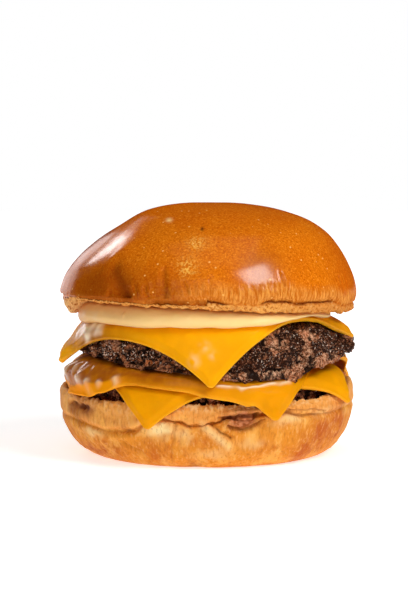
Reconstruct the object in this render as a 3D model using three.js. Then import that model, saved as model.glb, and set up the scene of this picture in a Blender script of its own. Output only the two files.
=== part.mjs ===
// Double cheeseburger: a bun cut in two, two seared patties, three square slices of cheese and a
// layer of sauce. Lengths are in millimetres, angles in radians and +Z is up. The origin is the
// centre of the flat underside, and the front, where a corner of the upper slice hangs, faces -Y.
//
// Every piece is a closed skin of rings about the Z axis. The pieces that lie on a patty share its
// support curve: a line that leaves the centre, runs level and bends down over the patty's rim. A
// point on it is given by the angle round the axis and the distance walked along the curve.
import * as THREE from "three";

const DEG = Math.PI / 180;
const TURN = 2 * Math.PI;
const FRONT = -90 * DEG;
const LEFT = 180 * DEG;

// What every piece shares
const COLUMNS = 60; // points in a ring of a round piece
const CLEARANCE = 0.6; // between two pieces that touch
const REACH = 50; // radius at which tilts are stated

// Cheese slices, 84 mm square as sold for burgers
const SLICE_SIDE = 84;
const SLICE_THICKNESS = 2.3;
const CORNER_RADIUS = 2.2;
const POINTS_PER_SIDE = 11;
const LAYER = SLICE_THICKNESS + CLEARANCE;
const BRIDGE = 0.6; // rise of a slice where it bends over a patty's rim
const SLICE_RINGS = [0.4, 0.6, 0.67, 0.73, 0.785, 0.84, 0.92, 1]; // shares of the way to the slice's edge

// Bottom bun
const HEEL_BASE_RADIUS = 39.4;
const HEEL_WIDEST_LEVEL = 21;
const DISH_LEVEL = 18.2;
const CREASE_DEPTH = 1.4;
const CREASE_HALF_WIDTH = 1.6;

// Patties
const LOWER_TOP_LEVEL = 30.8;
const UPPER_TOP_LEVEL = 49.3;
const RIM_REACH = 51; // how far the upper patty's top face runs along its support curve
const CRAG_HEIGHT = 0.8;

// Sauce
const SAUCE_BULGE = 4; // and never more than the next share of the sauce's depth
const SAUCE_BULGE_SHARE = 0.7;

// Top bun
const CROWN_RADIUS = { left: 52.7, right: 53.5 };
const CROWN_TOP_LEVEL = 89.7;
const CUT_LEVEL = 55.6; // of the cut face at the centre
const CUT_TILT = { right: -2.5, back: -2.2 }; // rise of the cut face at REACH
const CUT_DROOP = 1.7; // of the cut face's edge

// --- shaping functions ---------------------------------------------------------------------

// 0 below low, 1 above high, with a smooth S between them.
function ease(x, low, high) {
  const t = THREE.MathUtils.clamp((x - low) / (high - low), 0, 1);
  return t * t * (3 - 2 * t);
}

function bell(x, centre, width) {
  return Math.exp(-(((x - centre) / width) ** 2));
}

// A bell in the angle round the axis.
function lobe(theta, centre, width) {
  const away = THREE.MathUtils.euclideanModulo(theta - centre + Math.PI, TURN) - Math.PI;
  return bell(away, 0, width);
}

function lerp(a, b, t) {
  return a + (b - a) * t;
}

// A smooth function of the angle round the axis through [degrees, value] knots, which are listed
// in rising order from -180 to 180.
function around(knots) {
  return (theta) => {
    const angle = THREE.MathUtils.euclideanModulo(theta / DEG + 180, 360) - 180;
    const after = knots.findIndex(([knot]) => knot > angle);
    const [endAngle, endValue] = knots[after < 0 ? 0 : after];
    const [startAngle, startValue] = knots.at(after < 0 ? -1 : after - 1);
    const span = THREE.MathUtils.euclideanModulo(endAngle - startAngle, 360);
    const gone = THREE.MathUtils.euclideanModulo(angle - startAngle, 360);
    return lerp(startValue, endValue, ease(gone, 0, span));
  };
}

function polar(theta, r, z) {
  return new THREE.Vector3(r * Math.cos(theta), r * Math.sin(theta), z);
}

// --- support curves ------------------------------------------------------------------------

// The curve's downward slope, in degrees, is a function of the angle and the distance walked
// from the centre: it sags a little, turns down over the patty's rim, then falls to its end slope.
class SupportCurve {
  static STEP = 0.5;

  constructor(level, { sag, rim, fall, rimStart, rimEnd, fallStart, fallEnd }) {
    this.level = level;
    this.slope = (theta, walked) => {
      const turned = ease(walked, rimStart(theta), rimEnd(theta));
      const fallen = ease(walked, fallStart(theta), fallEnd(theta));
      const inner = sag(theta) * ease(walked, 4, 34);
      return DEG * lerp(lerp(inner, rim(theta), turned), fall(theta), fallen);
    };
  }

  at(theta, walked) {
    const steps = Math.max(1, Math.ceil(walked / SupportCurve.STEP));
    const step = walked / steps;
    let r = 0;
    let z = this.level;
    for (let i = 0; i < steps; i++) {
      const slope = this.slope(theta, (i + 0.5) * step);
      r += step * Math.cos(slope);
      z -= step * Math.sin(slope);
    }
    return { r, z, slope: this.slope(theta, walked) };
  }

  // The point at a height above the curve, square to it.
  above(theta, walked, height) {
    const { r, z, slope } = this.at(theta, walked);
    return polar(theta, r + height * Math.sin(slope), z + height * Math.cos(slope));
  }
}

// Top of the lower patty, then out over the bun's lip and down beside the bun.
const lowerRimStart = around([
  [-172, 39], [-152, 43], [-90, 41], [-25, 43], [24, 42], [90, 41], [156, 43], [167, 43],
]);
const lowerSupport = new SupportCurve(LOWER_TOP_LEVEL, {
  sag: around([[-156, 2], [-110, 7], [-62, 10], [-25, 4], [24, 2.5], [90, 6], [180, 3]]),
  rim: around([
    [-172, 56], [-152, 52], [-115, 38], [-66, 40], [-25, 46], [24, 34], [90, 38], [155, 46],
    [167, 47],
  ]),
  fall: around([
    [-172, 56], [-152, 40], [-115, 70], [-66, 60], [-25, 56], [24, 48], [90, 70], [155, 56],
  ]),
  rimStart: lowerRimStart,
  rimEnd: (theta) => lowerRimStart(theta) + 7.5,
  fallStart: (theta) => lowerRimStart(theta) + 8,
  fallEnd: (theta) => lowerRimStart(theta) + 13,
});

// Top of the upper patty: high at the front right, with a rim that falls away.
const upperRimStart = around([
  [-135, 38.5], [-90, 38.5], [-45, 41.5], [0, 35], [90, 38.5], [180, 35.3],
]);
const upperSupport = new SupportCurve(UPPER_TOP_LEVEL, {
  sag: around([[-135, 2.5], [-90, 1.5], [-45, 0.3], [0, 4.6], [30, 4.6], [90, 4], [180, 4]]),
  rim: around([[-135, 60], [-90, 62], [-45, 60], [0, 30], [90, 58], [180, 52]]),
  fall: around([[-135, 66], [-90, 68], [-45, 70], [0, 30], [90, 66], [180, 52]]),
  rimStart: upperRimStart,
  rimEnd: (theta) => upperRimStart(theta) + 9,
  fallStart: (theta) => upperRimStart(theta) + 12,
  fallEnd: (theta) => upperRimStart(theta) + 20,
});

// --- skins ---------------------------------------------------------------------------------

// A closed skin through rings of equal length, from the lowest pole to the highest. The first and
// last entries are single points. Quads split along one diagonal up to the fold and along the
// other from there, so that the two faces of a thin piece are split alike.
function ringSkin(name, colour, roughness, rings, fold = rings.length) {
  const columns = rings[1].length;
  const points = rings.flat();
  const start = (ring) => (ring === 0 ? 0 : 1 + (ring - 1) * columns);
  const last = rings.length - 1;
  const triangles = [];
  for (let j = 0; j < columns; j++) {
    const next = (j + 1) % columns;
    triangles.push(0, start(1) + next, start(1) + j);
    triangles.push(start(last), start(last - 1) + j, start(last - 1) + next);
    for (let ring = 1; ring < last - 1; ring++) {
      const [a, b] = [start(ring) + j, start(ring) + next];
      const [d, c] = [start(ring + 1) + j, start(ring + 1) + next];
      if (ring < fold) triangles.push(a, b, d, b, c, d);
      else triangles.push(a, b, c, a, c, d);
    }
  }
  const geometry = new THREE.BufferGeometry().setFromPoints(points);
  geometry.setIndex(triangles);
  geometry.computeVertexNormals();
  const material = new THREE.MeshStandardMaterial({ color: colour, roughness, metalness: 0 });
  const mesh = new THREE.Mesh(geometry, material);
  mesh.name = name;
  return mesh;
}

function round(make) {
  return Array.from({ length: COLUMNS }, (_, j) => make((j * TURN) / COLUMNS));
}

// --- bottom bun ----------------------------------------------------------------------------

const heelRadius = around([[-150, 52.6], [-90, 50.8], [-35, 52], [0, 52.6], [90, 51], [180, 53.2]]);

// The lip stands highest at the right, where the bun is folded up against the patty.
const lipLevel = around([
  [-150, 23], [-120, 22.6], [-90, 22.8], [-45, 23.4], [-25, 23.6], [8, 26.4], [60, 24.5], [100, 23],
  [180, 24.2],
]);

// The wavy line where the squashed lip folds over the body of the bun.
const creaseLevel = around([
  [-160, 15], [-148, 14.1], [-134, 12.6], [-122, 13.2], [-110, 18.2], [-97, 15.8], [-87, 17.2],
  [-81, 19], [-60, 20], [-49, 18.3], [-34, 17.7], [-20, 18.6], [90, 15],
]);

// The cut face under the lower patty, pressed into a shallow dish.
function dishLevel(theta, r) {
  const share = r / REACH;
  return DISH_LEVEL + share * Math.cos(theta) + 1.6 * share ** 2;
}

function creaseShare(theta) {
  return 0.25 + 0.75 * lobe(theta, FRONT, 62 * DEG);
}

// The wall leans out from the base in a quarter ellipse. A juice-soaked fold dents the front.
function heelWall(theta, level) {
  const lean = Math.sqrt(Math.max(0, 1 - (1 - level / HEEL_WIDEST_LEVEL) ** 2));
  const r = lerp(HEEL_BASE_RADIUS, heelRadius(theta), lean);
  const fold = 2 * lobe(theta, -74 * DEG, 7 * DEG) * bell(level, 14, 3);
  return polar(theta, r - fold, level);
}

function bottomBun() {
  const wall = (level) => round((theta) => heelWall(theta, level(theta)));
  const crease = (side) =>
    round((theta) => {
      const point = heelWall(theta, creaseLevel(theta) + side * CREASE_HALF_WIDTH);
      const depth = (side === 0 ? CREASE_DEPTH : -0.3) * creaseShare(theta);
      return point.addScaledVector(polar(theta, 1, 0), -depth);
    });
  const lip = (inward, down) =>
    round((theta) => polar(theta, heelRadius(theta) - inward, lipLevel(theta) - down));
  const dish = (r) => round((theta) => polar(theta, r, dishLevel(theta, r)));
  return ringSkin("bottom_bun", 0xdc9448, 0.7, [
    new THREE.Vector3(0, 0, 0),
    round((theta) => polar(theta, HEEL_BASE_RADIUS - 1.5, 0)),
    wall(() => 0.5),
    wall(() => 2.5),
    wall(() => 6),
    wall((theta) => creaseLevel(theta) - 4.2),
    crease(-1),
    crease(0),
    crease(1),
    round((theta) => heelWall(theta, 0.5 * (creaseLevel(theta) + 0.7 + lipLevel(theta)))),
    lip(0.5, 0.9),
    lip(1.4, 0),
    lip(2.6, 0.9),
    round((theta) => polar(theta, heelRadius(theta) - 3.6, dishLevel(theta, 48) + 0.6)),
    dish(46),
    dish(24),
    new THREE.Vector3(0, 0, DISH_LEVEL),
  ]);
}

// --- patties -------------------------------------------------------------------------------

// Crags of ground beef on the rim: three crossing waves, lower near the patty's edges.
function crag(theta, row) {
  const coarse = Math.sin(9 * theta + 1.9 * row) + Math.sin(14 * theta - 2.3 * row + 1);
  const height = CRAG_HEIGHT * [0.5, 1, 1, 0.6][row];
  return height * (0.5 * coarse + 0.5 * Math.sin(23 * theta + 3.1 * row + 2));
}

// A disc between a lower and an upper face, whose rim swells by a bulge between their edges.
function patty(name, bottomCentre, lowerRings, upperRings, bulge, topCentre) {
  const lowerEdge = lowerRings.at(-1);
  const upperEdge = upperRings[0];
  const rim = [0.2, 0.42, 0.64, 0.85].map((t, row) =>
    lowerEdge.map((low, j) => {
      const point = low.clone().lerp(upperEdge[j], t);
      const theta = Math.atan2(point.y, point.x);
      const out = bulge(theta) * Math.sin(Math.PI * t) + crag(theta, row);
      return point.add(polar(theta, out, 0.6 * crag(theta + 1, row)));
    }),
  );
  const rings = [bottomCentre, ...lowerRings, ...rim, ...upperRings, topCentre];
  return ringSkin(name, 0x5a3626, 0.8, rings);
}

function lowerPatty() {
  const face = (r) => round((theta) => polar(theta, r, dishLevel(theta, r) + CLEARANCE));
  const top = (walked) => round((theta) => lowerSupport.above(theta, walked, 0));
  return patty(
    "lower_patty",
    new THREE.Vector3(0, 0, DISH_LEVEL + CLEARANCE),
    [face(24), face(43), face(45.4)],
    [top(48.5), top(46.5), top(44), top(41), top(28)],
    () => 0,
    new THREE.Vector3(0, 0, LOWER_TOP_LEVEL),
  );
}

// The edge of the upper patty's underside, which hangs low at the front right.
const undersideLevel = around([
  [-148, 36.7], [-112, 34], [-95, 32.8], [-76, 30.5], [-55, 30.8], [-36, 34.4], [0, 36.2],
  [40, 36.8], [90, 34.8], [180, 36.8],
]);
const undersideRadius = around([[-140, 47], [-100, 48.6], [-76, 51], [-50, 51], [0, 49], [90, 47.5], [180, 47]]);

function upperPatty() {
  const face = (reach) =>
    round((theta) => {
      const walked = reach * (1 - 0.1 * lobe(theta, -172 * DEG, 14 * DEG));
      const height = overSliceHeight(theta, walked) + LAYER;
      return lowerSupport.above(theta, walked, height + bridge(walked));
    });
  const inner = face(44.5);
  const edge = round((theta) => polar(theta, undersideRadius(theta), undersideLevel(theta)));
  const arch = inner.map((point, j) => {
    const theta = Math.atan2(point.y, point.x);
    const rise = 0.6 + 1.6 * lobe(theta, -62 * DEG, 30 * DEG);
    return point.clone().lerp(edge[j], 0.5).add(new THREE.Vector3(0, 0, rise));
  });
  const top = (inward) =>
    round((theta) => upperSupport.above(theta, RIM_REACH - inward, 0));
  return patty(
    "upper_patty",
    new THREE.Vector3(0, 0, LOWER_TOP_LEVEL + CLEARANCE + 2 * LAYER),
    [face(24), face(38), inner, arch, edge],
    [top(0), top(3), top(6), top(9.5), top(14), top(26)],
    around([[-135, 0.8], [-60, 1.4], [-5, 3.2], [60, 1.2], [180, 0.8]]),
    new THREE.Vector3(0, 0, UPPER_TOP_LEVEL),
  );
}

// --- cheese slices -------------------------------------------------------------------------

// The outline of a square slice lying flat, with round corners, turned and moved off the centre.
function sliceOutline(turn, offset) {
  const half = SLICE_SIDE / 2;
  const straight = half - CORNER_RADIUS;
  const outline = [];
  for (let side = 0; side < 4; side++) {
    const along = turn + side * 90 * DEG;
    const corner = new THREE.Vector2(straight, straight).rotateAround(new THREE.Vector2(), along);
    for (const arc of [0, 45, 90]) {
      const round = new THREE.Vector2(CORNER_RADIUS, 0);
      outline.push(round.rotateAround(new THREE.Vector2(), along + arc * DEG).add(corner));
    }
    for (let i = 1; i < POINTS_PER_SIDE; i++) {
      const edge = new THREE.Vector2(straight - (2 * straight * i) / POINTS_PER_SIDE, half);
      outline.push(edge.rotateAround(new THREE.Vector2(), along));
    }
  }
  return outline.map((point) => point.add(offset));
}

// A slice draped over a support curve: the point at a distance from the centre of the flat slice
// walks as far along the curve, at a height above it. Where it has melted it walks further.
function cheeseSlice(name, support, { cornerAngle, offset, melted, height }) {
  const outline = sliceOutline(cornerAngle - 45 * DEG, offset);
  const ring = (share, past, thickness) =>
    outline.map((point) => {
      const theta = Math.atan2(point.y, point.x);
      const walked = share * (point.length() + melted(theta)) + past;
      return support.above(theta, walked, height(theta, walked) + thickness);
    });
  const centre = (thickness) =>
    new THREE.Vector3(0, 0, support.level + height(0, 0) + thickness);
  const bottom = SLICE_RINGS.map((share) => ring(share, 0, 0));
  const edge = ring(1, 0.5, 0.5 * SLICE_THICKNESS);
  const top = SLICE_RINGS.map((share) => ring(share, 0, SLICE_THICKNESS)).reverse();
  const rings = [centre(0), ...bottom, edge, ...top, centre(SLICE_THICKNESS)];
  return ringSkin(name, 0xf2a30c, 0.4, rings, bottom.length + 1);
}

function bridge(walked) {
  return BRIDGE * bell(walked, 46.5, 6);
}

const UNDER_SLICE = {
  cornerAngle: -113 * DEG,
  offset: new THREE.Vector2(-0.3, -2.6),
  melted: (theta) => -1.5 * lobe(theta, -23 * DEG, 14 * DEG),
  height: (theta, walked) => CLEARANCE + bridge(walked),
};

// How far a square slice reaches from the centre in a direction.
function sliceReach({ cornerAngle, offset }, theta) {
  const reaches = [0, 1, 2, 3].map((side) => {
    const facing = cornerAngle + (45 + 90 * side) * DEG;
    const shift = offset.length() * Math.cos(offset.angle() - facing);
    return (SLICE_SIDE / 2 + shift) / Math.max(0.01, Math.cos(theta - facing));
  });
  return Math.min(...reaches);
}

// The over slice lies on the under slice, and past its edge sinks towards the support.
function overSliceHeight(theta, walked) {
  const past = walked - sliceReach(UNDER_SLICE, theta);
  return CLEARANCE + 2.3 * bridge(walked) + LAYER * (1 - 0.95 * ease(past, 6.2, 9.8));
}

// Where the slice has melted at the front left, how far from the centre its ragged edge lies.
const meltedEdge = around([
  [-178, 44], [-170, 46], [-160, 52.6], [-150, 55.6], [-140, 55.4], [-121, 49], [-112, 49],
  [-97, 49.7], [-82, 51.4], [-70, 53.8],
]);

const OVER_SLICE = {
  cornerAngle: -66 * DEG,
  offset: new THREE.Vector2(1.1, 1.9),
  melted: (theta) => {
    const inside = ease(theta / DEG, -178, -172) * (1 - ease(theta / DEG, -76, -68));
    return inside * (meltedEdge(theta) - sliceReach(OVER_SLICE, theta));
  },
  height: overSliceHeight,
};

// The corners at the left and right are drawn in a little where the slice puckers.
const UPPER_SLICE = {
  cornerAngle: -86 * DEG,
  offset: new THREE.Vector2(-2.5, -5.5),
  melted: (theta) => -2.8 * lobe(theta, 2 * DEG, 16 * DEG) - 3 * lobe(theta, 184 * DEG, 16 * DEG),
  height: (theta, walked) => CLEARANCE + 1.4 * bridge(walked),
};

// --- top bun and sauce ---------------------------------------------------------------------

// The cut face is hollowed by what it rests on, and its edge is tilted and droops round it. At the
// left its crumb is torn and hangs down on to the cheese.
function cutLevel(theta, r) {
  const tilt = CUT_TILT.right * Math.cos(theta) + CUT_TILT.back * Math.sin(theta);
  const edge = (r / REACH) ** 3 * tilt - CUT_DROOP * ease(r, 38, 50);
  const hanging = ease(r, 43.5, 46) * (1 - ease(r, 49, 53));
  return CUT_LEVEL + edge - 5.5 * hanging * lobe(theta, 186 * DEG, 13 * DEG);
}

const sauceReach = around([
  [-172, 40.8], [-155, 43.4], [-125, 45], [-90, 44.8], [-60, 46.5], [-20, 46.6], [10, 44], [50, 44],
  [90, 43.5], [165, 40.8],
]);

function sauce() {
  const bottom = (share) =>
    round((theta) => {
      const walked = share * sauceReach(theta);
      return upperSupport.above(theta, walked, CLEARANCE + LAYER + 2 * bridge(walked));
    });
  const top = (share) =>
    round((theta) => {
      const r = share * sauceReach(theta);
      return polar(theta, r, cutLevel(theta, r) - CLEARANCE);
    });
  const lowerEdge = bottom(1);
  const upperEdge = top(1);
  const side = [0.2, 0.5, 0.8].map((t) =>
    lowerEdge.map((low, j) => {
      const point = low.clone().lerp(upperEdge[j], t);
      const theta = Math.atan2(point.y, point.x);
      const depth = upperEdge[j].z - low.z;
      const clear = 1 - 0.75 * lobe(theta, 186 * DEG, 20 * DEG); // under the bun's torn flap
      const most = clear * Math.min(SAUCE_BULGE, SAUCE_BULGE_SHARE * depth);
      const bulge = most * Math.sin(Math.PI * t ** 0.8) ** 0.6;
      return point.addScaledVector(polar(theta, 1, 0), bulge);
    }),
  );
  return ringSkin("sauce", 0xf0cf90, 0.35, [
    new THREE.Vector3(0, 0, UPPER_TOP_LEVEL + CLEARANCE + LAYER),
    bottom(0.5),
    bottom(0.78),
    bottom(0.89),
    lowerEdge,
    ...side,
    upperEdge,
    top(0.89),
    top(0.78),
    top(0.5),
    new THREE.Vector3(0, 0, CUT_LEVEL - CLEARANCE),
  ]);
}

function crownRadius(theta) {
  return lerp(CROWN_RADIUS.left, CROWN_RADIUS.right, 0.5 + 0.5 * Math.cos(theta));
}

const crownWidestLevel = around([[-90, 60.6], [0, 57.6], [90, 56.6], [180, 58]]);

// The dome is a superellipse from its widest ring to the top, fuller at the right than at the
// left, with two soft folds that rise from the cut at the front left and a dent above them.
function dome(theta, climb) {
  const leftPower = 1.74 + 0.42 * ease(climb, 0.5, 0.85);
  const rightPower = 1.98 + 0.4 * ease(climb, 0.15, 0.55);
  const power = lerp(leftPower, rightPower, 0.5 + 0.5 * Math.cos(theta));
  const out = Math.cos(climb * 90 * DEG) ** (2 / power);
  const up = Math.sin(climb * 90 * DEG) ** (2 / power);
  const folds = 1.1 * lobe(theta, -125 * DEG, 5 * DEG) + 0.7 * lobe(theta, -108 * DEG, 4 * DEG);
  const dent = 1.2 * lobe(theta, -165 * DEG, 22 * DEG) * bell(climb, 0.42, 0.14);
  const r = crownRadius(theta) * out - folds * (1 - ease(climb, 0, 0.35)) - dent;
  return polar(theta, r, lerp(crownWidestLevel(theta), CROWN_TOP_LEVEL, up));
}

function topBun() {
  const cut = (r) => round((theta) => polar(theta, r, cutLevel(theta, r)));
  const ragged = (theta) => 0.5 * Math.sin(17 * theta) + 0.4 * Math.sin(29 * theta + 1);
  const rim = (inward, rise, raggedness) =>
    round((theta) => {
      const r = crownRadius(theta) - inward;
      const level = lerp(cutLevel(theta, r), crownWidestLevel(theta), rise);
      return polar(theta, r, level + raggedness * ragged(theta));
    });
  const climbs = [0, 0.1, 0.2, 0.31, 0.43, 0.56, 0.7, 0.85];
  return ringSkin("top_bun", 0xc8681a, 0.35, [
    new THREE.Vector3(0, 0, CUT_LEVEL),
    cut(24),
    cut(42),
    cut(46),
    rim(3.6, -0.05, 0.5),
    rim(1.8, 0.04, 0.8),
    rim(0.7, 0.25, 0.3),
    rim(0.2, 0.6, 0),
    ...climbs.map((climb) => round((theta) => dome(theta, climb))),
    new THREE.Vector3(0, 0, CROWN_TOP_LEVEL),
  ]);
}

const burger = new THREE.Group();
burger.add(
  bottomBun(),
  lowerPatty(),
  cheeseSlice("lower_cheese_under", lowerSupport, UNDER_SLICE),
  cheeseSlice("lower_cheese_over", lowerSupport, OVER_SLICE),
  upperPatty(),
  cheeseSlice("upper_cheese", upperSupport, UPPER_SLICE),
  sauce(),
  topBun(),
);

export default burger;
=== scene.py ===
"""Double cheeseburger: two bun halves, two seared patties, three draped slices and a layer of sauce.

Sizes in the code are in millimetres and angles in degrees; meshes are written in metres. Every
piece is one closed skin: a grid of points whose columns run round the Z axis and whose rows run
from its lowest pole to its highest. The pieces on a patty share its support curve, which leaves
the centre level and bends down over the patty's rim.
"""

import bpy
import numpy as np
from bpy.props import FloatProperty, FloatVectorProperty, PointerProperty
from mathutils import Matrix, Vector


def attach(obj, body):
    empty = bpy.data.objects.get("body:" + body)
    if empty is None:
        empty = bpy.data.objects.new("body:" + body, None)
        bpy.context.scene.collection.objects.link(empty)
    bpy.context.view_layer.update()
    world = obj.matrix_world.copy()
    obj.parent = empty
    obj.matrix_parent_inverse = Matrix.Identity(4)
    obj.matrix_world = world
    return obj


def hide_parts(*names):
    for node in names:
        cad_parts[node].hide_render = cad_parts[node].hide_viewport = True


bl_info = {
    "name": "Double cheeseburger",
    "version": (1, 0, 0),
    "blender": (4, 5, 0),
    "location": "3D View > Sidebar > Burger",
    "description": "Builds a double cheeseburger from shaped skins and procedural finishes",
    "category": "Add Mesh",
}

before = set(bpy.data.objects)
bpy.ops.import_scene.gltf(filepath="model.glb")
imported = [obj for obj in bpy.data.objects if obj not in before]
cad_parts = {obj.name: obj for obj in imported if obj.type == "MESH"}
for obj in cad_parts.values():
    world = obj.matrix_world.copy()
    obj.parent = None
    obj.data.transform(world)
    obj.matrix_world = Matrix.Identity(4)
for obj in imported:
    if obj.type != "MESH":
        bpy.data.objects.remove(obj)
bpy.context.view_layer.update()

MM = 0.001  # in metres
COLUMNS = 800  # of a round piece
CROWDING = 0.3  # how much closer its columns stand at the front than on the whole
GIRTH = 50.0  # radius at which distances on an unrolled wall are measured
CLEARANCE = 0.6  # between the solids of two layers
CLOSER = 0.45  # how much of it the pieces here fill
SLICE_SIDE = 84.0
SLICE_THICKNESS = 2.3
LAYER = SLICE_THICKNESS + CLEARANCE
LATTICE_START = 977.0  # keeps the cells of noise that are in use above zero
TEN_BITS = 1023
FLAP = 186  # angle at which the top bun's torn crumb hangs down


# --- shaping functions -------------------------------------------------------------------------


def ease(x, low, high):
    """0 below low, 1 above high, and the S curve t * t * (3 - 2 t) between them."""
    t = np.clip((x - low) / (high - low), 0.0, 1.0)
    return t * t * (3.0 - 2.0 * t)


def bell(x, centre, width):
    """1 at the centre, falling as the exponential of minus the squared distance in widths."""
    return np.exp(-(((x - centre) / width) ** 2))


def lobe(theta, centre, width):
    """A bell in the angle round the axis."""
    return bell((theta - centre + 180.0) % 360.0, 180.0, width)


def hump(x, low, high, up, down):
    """Eased from 0 at low to 1 at high, and back to 0 from up to down."""
    return ease(x, low, high) * (1.0 - ease(x, up, down))


def lerp(a, b, t):
    """The point a share t of the way from a to b."""
    return a + (b - a) * t


def around(*knots):
    """A function of the angle through (angle, value) knots, eased from each knot to the next."""
    angles, values = np.array(knots, float).T
    starts = angles - angles[0]
    ends = np.append(starts[1:], 360.0)
    following = np.roll(values, -1)

    def value(theta):
        turned = (theta - angles[0]) % 360.0
        i = np.searchsorted(starts, turned, side="right") - 1
        return lerp(values[i], following[i], ease(turned, starts[i], ends[i]))

    return value


def polar(theta, r, z):
    """Points at an angle, a radius and a level, which are broadcast against each other."""
    theta, r, z = np.broadcast_arrays(theta, r, z)
    turn = np.radians(theta)
    return np.stack([r * np.cos(turn), r * np.sin(turn), z], axis=-1).astype(float)


def pole(level):
    """The point of the axis at a level."""
    return np.array([0.0, 0.0, level])


def angle_of(points):
    """The angle of each point round the axis."""
    return np.degrees(np.arctan2(points[..., 1], points[..., 0]))


def columns():
    """Angles of a round piece's columns: a full turn from the front, less a share of its sine."""
    turn = np.arange(COLUMNS) * 2.0 * np.pi / COLUMNS
    return np.degrees(turn - CROWDING * np.sin(turn)) - 90.0


def from_line(x, y, route):
    """Distance in a plane from a broken line through (x, y) points."""
    nearest = np.full(np.broadcast(x, y).shape, 99.0)
    for (a, b), (c, d) in zip(route, route[1:]):
        along, up = c - a, d - b
        share = np.clip(((x - a) * along + (y - b) * up) / (along**2 + up**2), 0.0, 1.0)
        nearest = np.minimum(nearest, np.hypot(x - a - share * along, y - b - share * up))
    return nearest


def unrolled(points, theta):
    """Distance round the wall from an angle, in millimetres at the girth."""
    return np.radians((angle_of(points) - theta + 180.0) % 360.0 - 180.0) * GIRTH


def trail(points, *route):
    """Distance from a broken line through (angle, level) points on the unrolled wall."""
    start = route[0][0]
    x = unrolled(points, start)
    return from_line(x, points[..., 2], [(np.radians(a - start) * GIRTH, z) for a, z in route])


def patch(points, theta, level, width, height):
    """A bell round one place on the unrolled wall, with half sizes in millimetres."""
    x = unrolled(points, theta)
    return np.exp(-((x / width) ** 2) - ((points[..., 2] - level) / height) ** 2)


# --- noise -------------------------------------------------------------------------------------


def scramble(cell, seed):
    """A whole number from 0 to 2 ** 32 - 1 for each cell, by multiplying, shifting and mixing."""
    mask = np.int64(0xFFFFFFFF)
    h = cell[..., 0] * 374761393 + cell[..., 1] * 668265263 + cell[..., 2] * 974634777
    h = (h + seed * 1013904223) & mask
    h = ((h ^ (h >> 15)) * 739982445) & mask
    h = ((h ^ (h >> 12)) * 695872825) & mask
    return h ^ (h >> 15)


def triple(h):
    """Three whole numbers from 0 to TEN_BITS out of a scrambled one."""
    return np.stack([h & TEN_BITS, h >> 10 & TEN_BITS, h >> 20 & TEN_BITS], axis=-1)


def noise(points, size, seed=0):
    """Smooth noise from about -1 to 1: each corner of a lattice of cubes of that size has a random
    slope, and the eight slopes round a point are blended with a fifth-order S curve."""
    p = points / size + LATTICE_START
    cell = np.floor(p).astype(np.int64)
    t = p - cell
    blend = t * t * t * (t * (6.0 * t - 15.0) + 10.0)
    total = np.zeros(points.shape[:-1])
    for corner in range(8):
        step = np.array([corner & 1, corner >> 1 & 1, corner >> 2 & 1])
        slope = triple(scramble(cell + step, seed)) / (TEN_BITS / 2) - 1.0
        weight = np.prod(np.where(step == 1, blend, 1.0 - blend), axis=-1)
        total += weight * ((t - step) * slope).sum(axis=-1)
    return total * 1.5


def fractal(points, size, octaves, seed=0):
    """Noise plus half as much noise of half the size, and so on."""
    layers = [noise(points, size / 2**k, seed + k) / 2**k for k in range(octaves)]
    return sum(layers) / 1.5


def drift(points, size, seed):
    """Three noises with following seeds, as a shift in each direction."""
    return np.stack([noise(points, size, seed + k) for k in range(3)], -1)


def cells(points, size, seed=0):
    """Distance to the nearest of the random points, one in each cube of a lattice, in sizes, and
    the distance to the second nearest less that."""
    p = points / size + LATTICE_START
    cell = np.floor(p).astype(np.int64)
    nearest = np.full(points.shape[:-1], 9.0)
    second = np.full(points.shape[:-1], 9.0)
    for k in range(27):
        step = np.array([k % 3 - 1, k // 3 % 3 - 1, k // 9 - 1])
        spot = triple(scramble(cell + step, seed)) / TEN_BITS
        away = np.sqrt(((cell + step + spot - p) ** 2).sum(axis=-1))
        second = np.minimum(second, np.maximum(nearest, away))
        nearest = np.minimum(nearest, away)
    return nearest, second - nearest


# --- skins -------------------------------------------------------------------------------------


def through(rings, rows):
    """A smooth grid through rings of points: between ring k and the next stand rows[k] rows on a
    cubic curve, whose direction at a ring is the mean of its two neighbouring chords' directions,
    the shorter chord counting more."""
    rings = [np.broadcast_to(ring, rings[1].shape) for ring in rings]
    chords = [rings[k + 1] - rings[k] for k in range(len(rings) - 1)]
    spans = [np.maximum(np.linalg.norm(chord, axis=-1, keepdims=True), 1e-6) for chord in chords]
    slopes = [chord / span for chord, span in zip(chords, spans)]
    turns = [slopes[0]]
    for k in range(1, len(slopes)):
        a, b = spans[k - 1], spans[k]
        turns.append((slopes[k - 1] * b + slopes[k] * a) / (a + b))
    turns.append(slopes[-1])
    grid = [rings[0][None]]
    for k, count in enumerate(rows):
        t = (np.arange(1, count + 1) / count)[:, None, None]
        start = (1.0 + 2.0 * t) * (1.0 - t) ** 2 * rings[k]
        leave = t * (1.0 - t) ** 2 * spans[k] * turns[k]
        end = t * t * (3.0 - 2.0 * t) * rings[k + 1]
        arrive = t * t * (t - 1.0) * spans[k] * turns[k + 1]
        grid.append(start + leave + end + arrive)
    return np.concatenate(grid)


def spread(values, rows):
    """Numbers given at the rings, one for each, drawn out in straight steps to the grid's rows."""
    at = np.concatenate([[0], np.cumsum(rows)])
    return np.interp(np.arange(at[-1] + 1), at, values)[:, None]


def normals(grid):
    """Unit normals of a grid, from the cross product of its steps along the columns and rows."""
    across = np.roll(grid, -1, axis=1) - np.roll(grid, 1, axis=1)
    up = np.gradient(grid, axis=0)
    square = np.cross(across, up)
    return square / np.maximum(np.linalg.norm(square, axis=-1, keepdims=True), 1e-9)


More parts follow.
